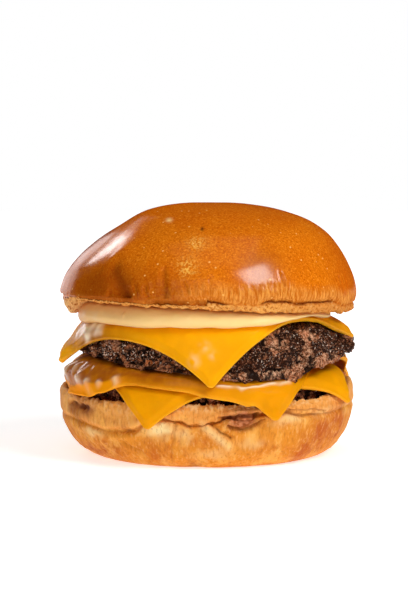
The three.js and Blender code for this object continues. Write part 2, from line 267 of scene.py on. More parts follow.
def skin(name, grid, masks):
    """Writes a grid as a closed mesh: squares between rows, and a fan of triangles at each pole.
    Each mask becomes a number at every point that the finish can read."""
    rows, columns = grid.shape[:2]
    points = np.concatenate([grid[0, :1], grid[1:-1].reshape(-1, 3), grid[-1, :1]]) * MM
    j = np.arange(columns)
    after = (j + 1) % columns
    base = 1 + np.arange(rows - 3)[:, None] * columns
    squares = np.stack([base + j, base + after, base + columns + after, base + columns + j], -1)
    last = len(points) - 1
    low = np.stack([0 * j, 1 + after, 1 + j], -1)
    high = np.stack([0 * j + last, last - columns + j, last - columns + after], -1)
    corners = np.concatenate([squares.ravel(), low.ravel(), high.ravel()])
    sizes = np.concatenate([np.full(squares.size // 4, 4), np.full(2 * columns, 3)])

    mesh = bpy.data.meshes.new(name)
    mesh.vertices.add(len(points))
    mesh.vertices.foreach_set("co", points.ravel())
    mesh.loops.add(len(corners))
    mesh.loops.foreach_set("vertex_index", corners.astype(np.int32))
    mesh.polygons.add(len(sizes))
    mesh.polygons.foreach_set("loop_start", (np.cumsum(sizes) - sizes).astype(np.int32))
    mesh.update(calc_edges=True)
    mesh.shade_smooth()
    for mask, values in masks.items():
        values = np.broadcast_to(values, (rows, columns))
        flat = np.concatenate([values[0, :1], values[1:-1].ravel(), values[-1, :1]])
        mesh.attributes.new(mask, "FLOAT", "POINT").data.foreach_set("value", flat)
    if mesh.validate():
        raise RuntimeError(f"{name} has faces that Blender had to mend")
    piece = bpy.data.objects.new(name, mesh)
    bpy.context.scene.collection.objects.link(piece)
    return piece


def place(piece, finish, node, slot):
    """Finishes a piece and lets it stand for its CAD node."""
    piece.data.materials.append(finish.material)
    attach(piece, "root")
    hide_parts(node)


# --- support curves ----------------------------------------------------------------------------


class SupportCurve:
    """A line from the centre whose downward slope sags a little, turns down over a patty's rim,
    then falls to its end slope. Its points come from adding up short steps along that slope."""

    STEPS = 80

    def __init__(self, level, sag, rim, fall, rim_start, turns):
        self.level = level
        self.tables = (sag, rim, fall, rim_start)
        self.turns = turns

    def at(self, theta, walked):
        """Radius, level and slope at a distance walked along the curve."""
        sag, rim, fall, start = (table(theta) for table in self.tables)
        rim_end, fall_start, fall_end = (start + turn for turn in self.turns)

        def slope(s):
            inner = sag * ease(s, 4.0, 34.0)
            turned = lerp(inner, rim, ease(s, start, rim_end))
            return np.radians(lerp(turned, fall, ease(s, fall_start, fall_end)))

        step = walked / self.STEPS
        r = np.zeros(np.broadcast(theta, walked).shape)
        z = r + self.level
        for i in range(self.STEPS):
            lean = slope((i + 0.5) * step)
            r = r + step * np.cos(lean)
            z = z - step * np.sin(lean)
        return r, z, slope(walked)

    def above(self, theta, walked, height):
        """Points at a height above the curve, square to it."""
        r, z, slope = self.at(theta, walked)
        return polar(theta, r + height * np.sin(slope), z + height * np.cos(slope))


LOWER = SupportCurve(
    level=30.8,
    sag=around((-156, 2), (-110, 7), (-62, 10), (-25, 4), (24, 2.5), (90, 6), (180, 3)),
    rim=around((-172, 56), (-152, 52), (-115, 38), (-66, 40), (-25, 46), (24, 34), (90, 38),
               (155, 46), (167, 47)),
    fall=around((-172, 56), (-152, 40), (-115, 70), (-66, 60), (-25, 56), (24, 48), (90, 70),
                (155, 56)),
    rim_start=around((-172, 39), (-152, 43), (-90, 41), (-25, 43), (24, 42), (90, 41), (156, 43),
                     (167, 43)),
    turns=(7.5, 8.0, 13.0),
)
UPPER = SupportCurve(
    level=49.3,
    sag=around((-135, 2.5), (-90, 1.5), (-45, 0.3), (0, 4.6), (30, 4.6), (90, 4), (180, 4)),
    rim=around((-135, 60), (-90, 62), (-45, 60), (0, 30), (90, 58), (180, 52)),
    fall=around((-135, 66), (-90, 68), (-45, 70), (0, 30), (90, 66), (180, 52)),
    rim_start=around((-135, 38.5), (-90, 38.5), (-45, 41.5), (0, 35), (90, 38.5), (180, 35.3)),
    turns=(9.0, 12.0, 20.0),
)


def bridge(walked):
    """Rise of a slice where it bends over a patty's rim."""
    return 0.6 * bell(walked, 46.5, 6.0)


# --- cheese slices -----------------------------------------------------------------------------


def slice_reach(corner, offset, theta):
    """How far a square slice reaches from the centre in a direction: the nearest of its four
    sides, each at half a side plus the slice's shift along its facing, over the cosine between."""
    facings = corner + 45.0 + 90.0 * np.arange(4)
    shift = offset[0] * np.cos(np.radians(facings)) + offset[1] * np.sin(np.radians(facings))
    lean = np.cos(np.radians(np.asarray(theta)[..., None] - facings))
    return ((SLICE_SIDE / 2 + shift) / np.maximum(lean, 0.01)).min(axis=-1)


UNDER_CORNER, UNDER_OFFSET = -113.0, (-0.3, -2.6)
OVER_CORNER, OVER_OFFSET = -66.0, (1.1, 1.9)
UPPER_CORNER, UPPER_OFFSET = -86.0, (-2.5, -5.5)


def under_melt(theta):
    """The corner at the right has drawn back a little."""
    return -1.5 * lobe(theta, -23, 14)


def over_melt(theta):
    """At the front left the slice has run down to a ragged edge, and in the middle to a soft one;
    both are given by how far from the centre they lie at angles round the axis."""
    angles = (-178, -170, -165, -160, -156, -150, -142, -136, -131, -127, -123, -118, -112, -103,
              -97, -93, -88, -82, -76, -70)
    edge = (44.0, 46.0, 50.4, 53.8, 55.2, 55.2, 54.4, 53.8, 52.6, 50.8, 49.2, 48.6, 49.0, 49.4,
            49.7, 50.4, 50.9, 51.4, 52.2, 53.8)
    inside = hump(theta, -178, -172, -76, -68)
    return inside * (np.interp(theta, angles, edge) - slice_reach(OVER_CORNER, OVER_OFFSET, theta))


def upper_melt(theta):
    """The corners at the right and the left have drawn back."""
    return -2.8 * lobe(theta, 2, 16) - 3.0 * lobe(theta, 184, 16)


def smear(flat, *route):
    """Distance from a broken line through (angle, distance walked) points on a flat slice."""
    ends = [(w * np.cos(np.radians(a)), w * np.sin(np.radians(a))) for a, w in route]
    return from_line(flat[..., 0], flat[..., 1], ends)


def smudge(flat, *route):
    """A soft streak along a broken line on a flat slice."""
    return bell(smear(flat, *route), 0.0, 0.9)


def blob(flat, theta, walked, width):
    """A bell round one place on a flat slice."""
    x, y, _ = polar(theta, walked, 0.0)
    return bell(np.hypot(flat[..., 0] - x, flat[..., 1] - y), 0.0, width)


OVER_BEADS = (  # angle, distance walked and size of each wet lump
    (-158, 47.6, 1.6), (-157, 50.0, 1.4), (-151, 48.8, 0.9), (-146, 51.6, 1.6), (-140, 52.2, 1.5),
    (-134, 51.4, 0.9), (-127, 49.6, 1.1), (-163, 47.4, 1.2),
)
UPPER_BEADS = (
    (-158, 44.8, 2.4), (-154, 46.6, 1.9), (-149, 45.0, 2.3), (-143, 45.6, 1.9), (-150, 48.8, 1.6),
    (-162, 47.6, 1.5),
)


def beads(flat, table):
    """Bells laid over each other, their outlines bent by noise."""
    bent = flat + 0.8 * drift(flat, 2.4, 231)
    return np.clip(sum(blob(bent, *place) for place in table), 0.0, 1.0)


def under_wave(flat, walked, side, full):
    """A faint unevenness."""
    return 0.16 * noise(flat, 10.0, 200)


def over_wave(flat, walked, side, full):
    """Wet lumps where the slice has melted over the rim at the left, a bead along its edge there,
    and a ridge of fat along the foot of the upper patty."""
    theta = angle_of(flat)
    melt = lobe(theta, -148, 20) * hump(walked, 42.0, 45.0, 53.0, 55.0)
    lumps = melt * (0.6 * noise(flat, 5.2, 210) + 0.35 * noise(flat, 2.4, 211))
    lumps = lumps + 0.9 * beads(flat, OVER_BEADS)
    wavy = full - 1.2 + 0.5 * noise(flat, 3.0, 213)
    bead = 0.6 * bell(walked, wavy, 0.8) * lobe(theta, -150, 14)
    merged = lobe(theta, -42, 16) * ease(walked, full - 7.0, full)
    lumps = lumps + bead + 0.5 * fat_line(flat) - merged
    return 0.16 * noise(flat, 10.0, 201) - 0.7 * merged + side * lumps


def fat_line(flat):
    """Melted fat that has gathered along the foot of the upper patty: a ridge in the shape, and in
    the colour a pale line that is partly painted highlight.
    """
    bent = flat + 1.3 * noise(flat, 4.4, 221)[..., None]
    away = smear(bent, (-86, 48.6), (-77, 49.2), (-69, 48.6), (-61, 48.2), (-53, 48.0))
    width = 0.3 + 0.2 * ease(noise(flat, 3.0, 223), -0.3, 0.4)
    return bell(away, 0.0, width) * ease(noise(flat, 7.0, 222), -0.3, 0.0)


def upper_wave(flat, walked, side, full):
    """Soft dimples on the hanging corner, and lumps at the left where juice has run."""
    theta = angle_of(flat)
    spots = blob(flat, -92, 51.0, 1.7) + blob(flat, -95, 56.2, 2.0)
    spots = spots + 0.7 * blob(flat, -96, 51.8, 1.3)
    lumps = lobe(theta, -150, 17) * hump(walked, 42.0, 45.0, 51.0, 54.0)
    lumps = lumps * 0.3 * noise(flat, 6.0, 212) + 0.3 * beads(flat, UPPER_BEADS)
    finger = 0.9 * lobe(theta, -173, 8) * ease(walked, 49.0, 54.0)
    return 0.2 * noise(flat, 12.0, 202) + side * (0.4 * spots + lumps + finger)


def over_slice_height(theta, walked):
    """The over slice lies on the under slice, and past its edge sinks towards the support."""
    past = walked - slice_reach(UNDER_CORNER, UNDER_OFFSET, theta)
    return CLEARANCE + 2.3 * bridge(walked) + LAYER * (1.0 - 0.95 * ease(past, 6.2, 9.8))


def slice_outline(corner, offset, along=148, arc=7, radius=2.2):
    """A square with round corners, lying flat, turned and moved off the centre."""
    half = SLICE_SIDE / 2
    straight = half - radius
    bend = np.radians(np.linspace(0.0, 90.0, arc))
    run = np.linspace(straight, -straight, along + 1)[1:-1]
    round_part = np.stack([straight + radius * np.cos(bend), straight + radius * np.sin(bend)], -1)
    side = np.concatenate([round_part, np.stack([run, np.full(run.shape, half)], -1)])
    turns = np.radians(corner - 45.0 + 90.0 * np.arange(4))
    quarter = [
        np.stack(
            [side[:, 0] * np.cos(a) - side[:, 1] * np.sin(a),
             side[:, 0] * np.sin(a) + side[:, 1] * np.cos(a)],
            axis=-1,
        )
        for a in turns
    ]
    return np.concatenate(quarter) + np.array(offset)


def cheese_slice(support, corner, offset, melted, height, wave):
    """A slice draped over a support curve. A point at a distance from the flat slice's centre
    walks as far along the curve, and further where it has melted. The lower face lies close to
    what carries it, the upper face a thickness higher, and the rim between them is rounded."""
    outline = slice_outline(corner, offset)
    theta = angle_of(outline)
    full = np.hypot(outline[:, 0], outline[:, 1]) + melted(theta)
    shares = np.concatenate([[0.0, 0.2], np.linspace(0.4, 0.7, 10), np.linspace(0.7, 1.0, 46)[1:]])
    edge = np.radians(np.linspace(-90.0, 90.0, 9)[1:-1])
    share = np.concatenate([shares, np.ones(len(edge)), shares[::-1]])[:, None]
    past = np.pad(0.55 * np.cos(edge) ** 0.7, len(shares))[:, None]
    side = np.concatenate([0.0 * shares, 0.5 + 0.5 * np.sin(edge), 0.0 * shares + 1.0])[:, None]
    walked = np.maximum(share * full + past - 0.05, 0.0)
    close = CLOSER * (1.0 - ease(walked, 47.0, 53.0)) * (1.0 - side)
    thin = 1.0 - 0.5 * ease(walked, full - 3.0, full)
    lift = height(theta, walked) - close + side * SLICE_THICKNESS * thin
    flat = polar(theta, walked, 0.0)
    lift = lift + wave(flat, walked, side, full) * ease(walked, 20.0, 40.0)
    grid = support.above(theta, walked, lift)
    return grid, theta, walked, side, full


def cheese_masks(name, theta, walked, side, full):
    """Where a slice shows its cut edge, juice from the beef with painted shade under the upper patty
    and at the right, fat with painted highlights, and crumbs of char.
    """
    flat = polar(theta, walked, 0.0)
    rind = bell(side, 0.55, 0.4) * ease(walked, full - 0.5, full)
    lip = juice_and_shade = fat_and_highlight = crumbs = 0.0 * walked
    if name == "lower_cheese_over":
        rind = rind * (1.0 - lobe(theta, -42, 18)) * (1.0 - 0.8 * lobe(theta, -145, 20))
        lip = lobe(theta, -150, 17) * ease(
            walked + 0.7 * noise(flat, 3.0, 213), full - 2.6, full - 1.6)
        # juice stains, with painted shade under the upper patty, in the melt at the left and at the
        # right
        juice_and_shade = 1.3 * lobe(theta, -144, 21) * hump(walked, 42.0, 45.0, full - 3.2, full - 1.4)
        juice_and_shade = juice_and_shade + 0.7 * lobe(theta, -122, 16) * hump(walked, 42.0, 44.0, 46.5, 49.5)
        juice_and_shade = np.minimum(1.0, 1.6 * juice_and_shade) * (0.8 + 0.2 * ease(noise(flat, 4.0, 240), -0.3, 0.3))
        juice_and_shade = np.maximum.reduce([
            juice_and_shade, 0.45 * smudge(flat, (-107, 47.0), (-99, 48.4), (-91, 50.4)),
            0.9 * lobe(theta, -108, 34) * hump(walked, 42.0, 45.0, 47.0, 51.2),
            0.35 * lobe(theta, -8, 20) * ease(walked, 42.0, 46.0),
        ])
        # pale fat along the patty's foot, partly painted highlight, and painted highlights on the
        # wet lumps
        fat_and_highlight = np.maximum(0.8 * fat_line(flat), 0.6 * beads(flat, OVER_BEADS) * (1.0 - lip))
        crumbs = np.maximum(smudge(flat, (-22.5, 47.6), (-24.5, 50.2)),
                            smudge(flat, (-174, 46.0), (-168, 49.6)))
    elif name == "upper_cheese":
        juice_and_shade = 0.85 * lobe(theta, -152, 24) * hump(walked, 38.0, 43.0, 51.5, 55.5)
        juice_and_shade = juice_and_shade * (0.7 + 0.3 * ease(noise(flat, 5.0, 241), -0.3, 0.3))
        # painted shade at the right, where the bun shades the slice
        juice_and_shade = np.maximum(juice_and_shade, 0.4 * lobe(theta, 0, 28) * ease(walked, 42.0, 46.0))
        # painted highlights: pale spots on the dimples
        dimple_highlights = blob(flat, -91, 50.6, 1.6) + blob(flat, -95, 55.4, 1.9)
        dimple_highlights = dimple_highlights + 0.8 * blob(flat, -88, 53.4, 1.4)
        dimple_highlights = dimple_highlights * ease(noise(flat, 2.6, 242), -0.4, 0.3)
        fat_and_highlight = np.maximum(0.95 * beads(flat, UPPER_BEADS), 0.34 * dimple_highlights)
    return {"rind": rind, "juice_and_shade": juice_and_shade * side, "fat_and_highlight": fat_and_highlight * side, "crumbs": crumbs * side,
            "lip": lip}


# --- finishes ----------------------------------------------------------------------------------


def linear(red, green, blue):
    """A colour given as 0 to 255 screen values, as the renderer's linear values."""
    screen = np.array([red, green, blue]) / 255.0
    low, high = screen / 12.92, ((screen + 0.055) / 1.055) ** 2.4
    return tuple(float(v) for v in np.where(screen <= 0.04045, low, high))


class Finish:
    """A Principled material whose sockets are fed by noise, masks and mixes. Noise reads Object
    coordinates, and its sizes are in millimetres. A tuple given as a colour holds screen values."""

    def __init__(self, name, **sockets):
        self.material = bpy.data.materials.new(name)
        self.material.use_nodes = True
        self.nodes = self.material.node_tree.nodes
        self.links = self.material.node_tree.links
        self.nodes.clear()
        out = self.nodes.new("ShaderNodeOutputMaterial")
        self.shader = self.nodes.new("ShaderNodeBsdfPrincipled")
        self.links.new(self.shader.outputs[0], out.inputs["Surface"])
        self.place = self.nodes.new("ShaderNodeTexCoord").outputs["Object"]
        for socket, value in sockets.items():
            self.shader.inputs[socket.replace("_", " ")].default_value = value

    def put(self, socket, value):
        """Links a value into a socket, or sets it there when it is a plain number or colour."""
        if isinstance(value, bpy.types.NodeSocket):
            self.links.new(value, socket)
        elif isinstance(value, tuple):
            socket.default_value = (*linear(*value), 1.0)
        elif socket.type == "RGBA":
            socket.default_value = (*value, 1.0)
        else:
            socket.default_value = value

    def add(self, kind, **inputs):
        """A new node with its inputs fed."""
        node = self.nodes.new(f"ShaderNode{kind}")
        for socket, value in inputs.items():
            self.put(node.inputs[socket.replace("_", " ")], value)
        return node

    def feed(self, socket, value):
        """Feeds one of the shader's own sockets."""
        self.put(self.shader.inputs[socket], value)

    def mask(self, name):
        """A number that the mesh carries at every point."""
        node = self.add("Attribute")
        node.attribute_name = name
        return node.outputs["Fac"]

    def noise(self, size, detail=3.0, rough=0.55, tall=1.0, warp=0.0):
        """Noise from 0 to 1 with features about that size, and so many times as tall."""
        spot = self.add("Mapping", Vector=self.place, Scale=[1.0, 1.0, 1.0 / tall]).outputs[0]
        return self.add("TexNoise", Vector=spot, Scale=1.0 / (MM * size), Detail=detail,
                        Roughness=rough, Distortion=warp).outputs["Fac"]

    def cells(self, size):
        """Distance to the nearest of scattered points that are about that size apart."""
        node = self.add("TexVoronoi", Vector=self.place, Scale=1.0 / (MM * size))
        return node.outputs["Distance"]

    def step(self, value, low, high):
        """0 below low and 1 above high, with an S curve between."""
        node = self.add("MapRange", Value=value, From_Min=low, From_Max=high)
        node.interpolation_type = "SMOOTHSTEP"
        return node.outputs["Result"]

    def calc(self, operation, a, b):
        """One of the Math node's operations."""
        node = self.add("Math")
        node.operation = operation
        self.put(node.inputs[0], a)
        self.put(node.inputs[1], b)
        return node.outputs[0]

    def times(self, a, b):
        """A product."""
        return self.calc("MULTIPLY", a, b)

    def plus(self, a, b):
        """A sum."""
        return self.calc("ADD", a, b)

    def scale(self, value, low, high):
        """A number from 0 to 1 drawn out from low to high."""
        return self.plus(self.times(value, high - low), low)

    def blend(self, a, b, share):
        """Colour a with a share of colour b."""
        node = self.add("Mix")
        node.data_type = "RGBA"
        self.put(node.inputs["Factor"], share)
        self.put(node.inputs[6], a)
        self.put(node.inputs[7], b)
        return node.outputs[2]

    def layers(self, colour, *coats):
        """A colour under coats of others, each given by where it lies, which is a value or the
        name of a mask, by its strength and by its colour."""
        for share, strength, coat in coats:
            share = self.mask(share) if isinstance(share, str) else share
            colour = self.blend(colour, coat, self.times(share, strength))
        return colour

    def bump(self, *heights):
        """Fine relief from (height socket, millimetres) pairs, added up."""
        total = 0.0
        for height, amount in heights:
            total = self.plus(total, self.times(height, amount))
        self.feed("Normal", self.add("Bump", Strength=1.0, Distance=MM, Height=total).outputs[0])


# --- bottom bun --------------------------------------------------------------------------------

heel_radius = around((-150, 52.6), (-90, 50.8), (-35, 52), (0, 52.6), (90, 51), (180, 53.2))
lip_level = around(
    (-150, 23), (-120, 22.6), (-90, 22.8), (-45, 23.4), (-25, 23.6), (8, 26.4), (60, 24.5),
    (100, 23), (180, 24.2),
)
crease_level = around(
    (-160, 15), (-148, 14.1), (-134, 12.6), (-122, 13.2), (-110, 18.2), (-100.5, 17.2),
    (-97, 15.8), (-93, 16.2), (-87, 17.2), (-81, 19.0), (-60, 20.0), (-49, 18.3), (-34, 17.7),
    (-20, 18.6), (90, 15),
)
DISH_LEVEL = 18.2


def dish_level(theta, r):
    """The cut face under the lower patty: it rises to the right and with the square of r."""
    share = r / 50.0
    return DISH_LEVEL + share * np.cos(np.radians(theta)) + 1.6 * share**2


base_radius = around((-90, 40.4), (0, 38.2), (90, 38.6), (180, 37.6))


def heel_wall(theta, level):
    """The wall leans out from the base in a quarter ellipse, with a fold that dents the front."""
    lean = np.sqrt(np.maximum(0.0, 1.0 - (1.0 - level / 21.0) ** 2))
    r = lerp(base_radius(theta), heel_radius(theta), lean)
    fold = 2.0 * lobe(theta, -74, 7) * bell(level, 14, 3)
    return polar(theta, r - fold, level)


GROOVES = (  # depth, half width and route of each wrinkle in the bottom bun's wall
    (0.5, 0.55, ((-103, 16.4), (-103.4, 12), (-105, 8), (-105.6, 3))),
    (0.35, 0.7, ((-100.6, 14.5), (-101.4, 9.5))),
    (0.5, 0.6, ((-126.5, 9), (-123.5, 7.6), (-119, 6), (-116.5, 2.8))),
    (0.3, 0.9, ((-130.5, 20.4), (-127.5, 18.6), (-128.8, 15))),
    (0.3, 0.8, ((-136, 20), (-133, 18), (-134.4, 14.6))),
    (0.5, 0.45, ((-156, 18), (-156.5, 12.5))),
    (0.55, 0.45, ((-153.4, 18.2), (-153.8, 12))),
    (0.5, 0.45, ((-151, 18), (-151.4, 12.6))),
    (0.4, 0.45, ((-148.6, 17.6), (-149, 13))),
    (0.9, 0.6, ((-88, 16.2), (-84.6, 13.4), (-80.4, 11.6))),
    (0.35, 0.8, ((-94.6, 14.5), (-92.5, 9.4))),
    (1.0, 0.5, ((-86, 19), (-81.5, 19.3), (-76, 17.2), (-72.5, 18.2), (-70, 19.6))),
    (1.2, 0.6, ((-81.8, 15.8), (-79, 14.6), (-76.5, 14.1), (-72.5, 14.6), (-69.6, 16), (-67.6, 18))),
    (0.5, 0.4, ((-78.5, 17), (-74.5, 16), (-71.5, 16.8))),
    (0.7, 0.4, ((-60.5, 20), (-57, 20.6), (-52, 19.9), (-44, 20), (-38, 18.8))),
    (0.3, 0.8, ((-41, 14), (-37.5, 8), (-38, 4))),
    (0.35, 0.5, ((-56, 6.5), (-49, 4.4))),
)
seam_depth = around(
    (-155, 0.2), (-130, 0.35), (-112, 0.35), (-103, 0.6), (-95, 0.4), (-86, 0.9), (-66, 1.0),
    (-60, 0.9), (-46, 0.7), (-36, 0.35), (-20, 0.15), (90, 0.3),
)
TOASTED = (  # angle, level, half width, half height and strength of each darker patch
    (-36, 11, 10, 7, 1.2), (-44, 4, 7, 3.5, 0.9), (-24, 15, 5, 6, 0.7), (-112, 5.6, 4.5, 3.2, 0.75),
    (-150, 3.4, 8, 2.4, 1.0), (-92, 10.6, 3.2, 2.2, 0.6), (-66, 8, 6, 3, 0.4), (-134, 6, 8, 3, 0.8),
    (-80, 17.8, 6, 3, 0.4), (-99.5, 7, 2, 3, 0.4), (-170, 9, 6, 6, 0.5), (10, 10, 9, 5, 0.5),
    (60, 8, 12, 6, 0.5), (120, 12, 10, 5, 0.6), (165, 6, 8, 4, 0.5),
)
PALE = (
    (-109.5, 14.6, 4.6, 2.8, 1.3), (-56.5, 17.4, 5, 1.9, 0.6), (-142, 11, 5, 1.5, 0.55),
    (-99, 12.6, 2.6, 2.6, 0.5), (-72, 9.4, 4.5, 2, 0.35), (-88.5, 5.4, 6, 1.6, 0.35),
    (-39, 18.4, 5, 1.2, 0.45), (90, 12, 9, 3, 0.5), (30, 16, 8, 3, 0.4), (145, 5, 8, 2.4, 0.4),
)
# brown stains, and painted shade round the pit under the torn lip and under the base
STAINED_AND_SHADED = (
    (-147, 19.8, 6.5, 2.4, 0.8), (-156, 18.4, 3.6, 2.8, 0.7), (-152, 15.4, 4.6, 3.0, 0.6),
    (-142.8, 19.2, 2, 1.8, 0.7), (-123, 13.6, 1.4, 0.8, 0.9), (-95.5, 1.6, 3, 1.3, 0.6),
    (-172, 20, 3, 3, 0.4),
)


def zones(points, table):
    """The patches of a table laid over each other, their edges broken up by noise."""
    ragged = points + 1.4 * drift(points, 2.6, 301)
    return np.clip(sum(strength * patch(ragged, *place) for *place, strength in table), 0.0, 1.0)


def bottom_bun(relief):
    """Rings run out along the flat base, up the wall to a crease under the squashed lip, over the
    lip and back in across the dished cut face."""
    theta = columns()
    outward = polar(theta, 1.0, 0.0)
    share = 0.15 + 0.85 * lobe(theta, -90, 52)
    crease_at = crease_level(theta) + 0.5 * noise(polar(theta, 51.0, 0.0), 3.2, 17) * share

    def crease(side, depth):
        return heel_wall(theta, crease_at + side * 1.6) - outward * (depth * share)[:, None]

    def lip(inward, down):
        return polar(theta, heel_radius(theta) - inward, lip_level(theta) - down)

    middle = 0.5 * (crease_at + 0.7 + lip_level(theta))
    rings = [
        pole(0.0), polar(theta, base_radius(theta) - 1.5, 0.0), heel_wall(theta, 0.5),
        heel_wall(theta, 2.5), heel_wall(theta, 6.0), heel_wall(theta, crease_at - 4.2),
        crease(-1, -0.3), crease(0, 1.4), crease(1, -0.3), heel_wall(theta, middle),
        lip(0.5, 0.9), lip(1.4, 0.0), lip(2.6, 0.9),
        polar(theta, heel_radius(theta) - 3.6, dish_level(theta, 48.0) + 0.6),
        polar(theta, 46.0, dish_level(theta, 46.0)), polar(theta, 24.0, dish_level(theta, 24.0)),
        pole(DISH_LEVEL),
    ]
    rows = [2, 4, 8, 12, 16, 10, 7, 7, 6, 8, 6, 5, 6, 3, 3, 2]
    grid = through(rings, rows)
    outside = spread([0, 0, 0.3, 1, 1, 1, 1, 1, 1, 1, 1, 1, 0.8, 0.3, 0, 0, 0], rows)
    crumb = spread([0, 0, 0, 0, 0, 0, 0, 0, 0, 0, 0.25, 0.9, 1, 1, 1, 1, 1], rows)
    z = grid[..., 2]
    above = z - crease_at
    front = lobe(theta, -90, 75)
    lumps = fractal(grid, 14.0, 3, 3)
    skin_folds = fractal(grid * [1.0, 1.0, 0.45], 3.6, 3, 11)
    fine = noise(grid * [1.0, 1.0, 0.22], 1.3, 21)
    pores = fractal(grid, 1.1, 3, 8)
    body = ease(-above, 0.2, 2.5) * ease(z, 0.3, 2.5)
    height = 0.6 * lumps + (0.16 + 0.2 * body) * skin_folds + 0.09 * fine * body + 0.07 * pores
    # the lip's lower edge stands out over a sharp crease, and its torn upper edge is rough
    seam = bell(above, -0.15, 0.4) * seam_depth(theta)
    height = height - 0.9 * seam + 0.5 * bell(above, 1.5, 1.1) * front
    height = height + crumb * (0.35 * pores + 0.5 * noise(grid, 2.2, 41))
    shreds = noise(grid * [1.0, 1.0, 0.6], 1.2, 42) + 0.6 * noise(grid, 0.6, 43)
    fringe = spread([0] * 9 + [0, 0.7, 1, 0.6, 0] + [0] * 3, rows) * ease(shreds, -0.1, 0.35)
    height = height + 0.7 * fringe * front
    # painted shade: dark lines along the grooves' hollows
    groove_and_base_shade = np.zeros_like(z)
    wander = grid + 0.5 * drift(grid, 3.0, 51)
    for depth, width, route in GROOVES:
        away = trail(wander, *route)
        height = height - depth * bell(away, 0.0, width) + 0.25 * depth * bell(away, 1.3, 0.7)
        groove_and_base_shade = np.maximum(groove_and_base_shade, float(ease(depth, 0.3, 0.9)) * bell(away, 0.0, 0.75 * width))
    ridge = bell(trail(grid, (-91.5, 16), (-86.5, 12.4), (-81.5, 8.6)), 0.0, 1.5)
    bent = grid + 0.6 * noise(grid, 2.0, 44)[..., None]
    # the pit is also painted dark in the finish: painted shade
    pit = patch(bent, -147, 19.8, 4.4, 1.3) + 0.7 * patch(bent, -155.5, 20.6, 3.0, 0.9)
    height = height + 0.8 * ridge - 2.0 * pit
    soaked = np.clip(1.8 * patch(bent, -76.5, 18.0, 6.6, 4.2) - 0.3, 0.0, 1.0)
    height = height + 0.3 * soaked * fractal(grid, 1.8, 2, 31)
    notch = lobe(theta, -95, 3.2) * (1.0 - ease(z, 0.6, 2.4))
    grid = grid + normals(grid) * (relief * height * outside)[..., None]
    grid[..., 2] += 1.1 * notch * outside
    grid[..., 2] = np.maximum(grid[..., 2], 0.0)
    mottle = ease(fractal(grid, 7.0, 3, 61), 0.02, 0.6)
    return grid, {
        "crumb": crumb, "pit": pit, "soaked": soaked, "stain_and_shade": zones(grid, STAINED_AND_SHADED),
        # painted shade: dark in the grooves, in the crease under the lip and along the bottom edge
        "groove_and_base_shade": np.maximum.reduce([groove_and_base_shade, seam, 0.9 * (1.0 - ease(z, 0.2, 1.5)) * outside]),
        "toast": np.clip(zones(grid, TOASTED) + 0.4 * mottle * body, 0.0, 1.0),
        "pale": np.clip(zones(grid, PALE) + 0.6 * ridge, 0.0, 1.0),
        "fringe": fringe * (0.35 + 0.65 * front), "lip": ease(above, 0.0, 1.5),
    }


# --- patties -----------------------------------------------------------------------------------


def mince(grid, seed):
    """Relief of coarse ground beef from about -1 to 0.6: noise of two sizes under round clumps of
    three sizes, each highest at its own random point, in a field that noise has warped, with
    cracks between the middle ones."""
    bent = grid + 1.5 * drift(grid, 3.0, seed + 1)
    coarse, _ = cells(bent, 5.0, seed)
    middle, split = cells(bent, 2.3, seed + 7)
    fine, _ = cells(grid, 1.1, seed + 8)
    swell = 0.6 * noise(bent, 5.5, seed + 10) + 0.4 * noise(bent, 2.8, seed + 11)
    grain = fractal(grid, 0.9, 2, seed + 9)
    clumps = 0.4 * coarse**1.6 + 0.4 * middle**1.4 + 0.3 * fine + 0.25 * bell(split, 0.0, 0.1)
    return 0.48 + swell - clumps + 0.2 * grain


def rim_between(low, high, shares, bulge):
    """Rings at shares of the way from the lower edge to the upper, swollen by a half sine."""
    theta = angle_of(low)
    outward = polar(theta, 1.0, 0.0)
    swell = bulge(theta)[:, None]
    return [lerp(low, high, t) + outward * swell * np.sin(np.pi * t) for t in shares]


def lower_patty(depth):
    """Stands in the bun's dish, under the lower pair of slices."""
    theta = columns()

    def face(r):
        return polar(theta, r, dish_level(theta, r) + CLEARANCE - CLOSER)

    def top(walked):
        return LOWER.above(theta, walked, 0.0)

    low, high = face(45.4), top(48.5)
    rim = rim_between(low, high, [0.2, 0.42, 0.64, 0.85], lambda a: 0.0 * a)
    rings = [pole(DISH_LEVEL + CLEARANCE - CLOSER), face(24.0), face(43.0), low, *rim, high,
             top(46.5), top(44.0), top(41.0), top(28.0), pole(LOWER.level)]
    rows = [2, 3, 4, 7, 7, 7, 7, 6, 6, 5, 5, 3, 2]
    grid = through(rings, rows)
    rough = spread([0, 0, 0.1, 0.5, 1, 1, 1, 1, 0.7, 0.4, 0.15, 0.1, 0, 0], rows)
    lumps = mince(grid, 40)
    grid = grid + normals(grid) * (depth * rough * (lumps - 0.2))[..., None]
    field = fractal(grid, 6.0, 3, 48)
    return grid, {"lumps": lumps, "char": ease(field, 0.15, 0.35), "flesh": ease(-field, 0.2, 0.6)}


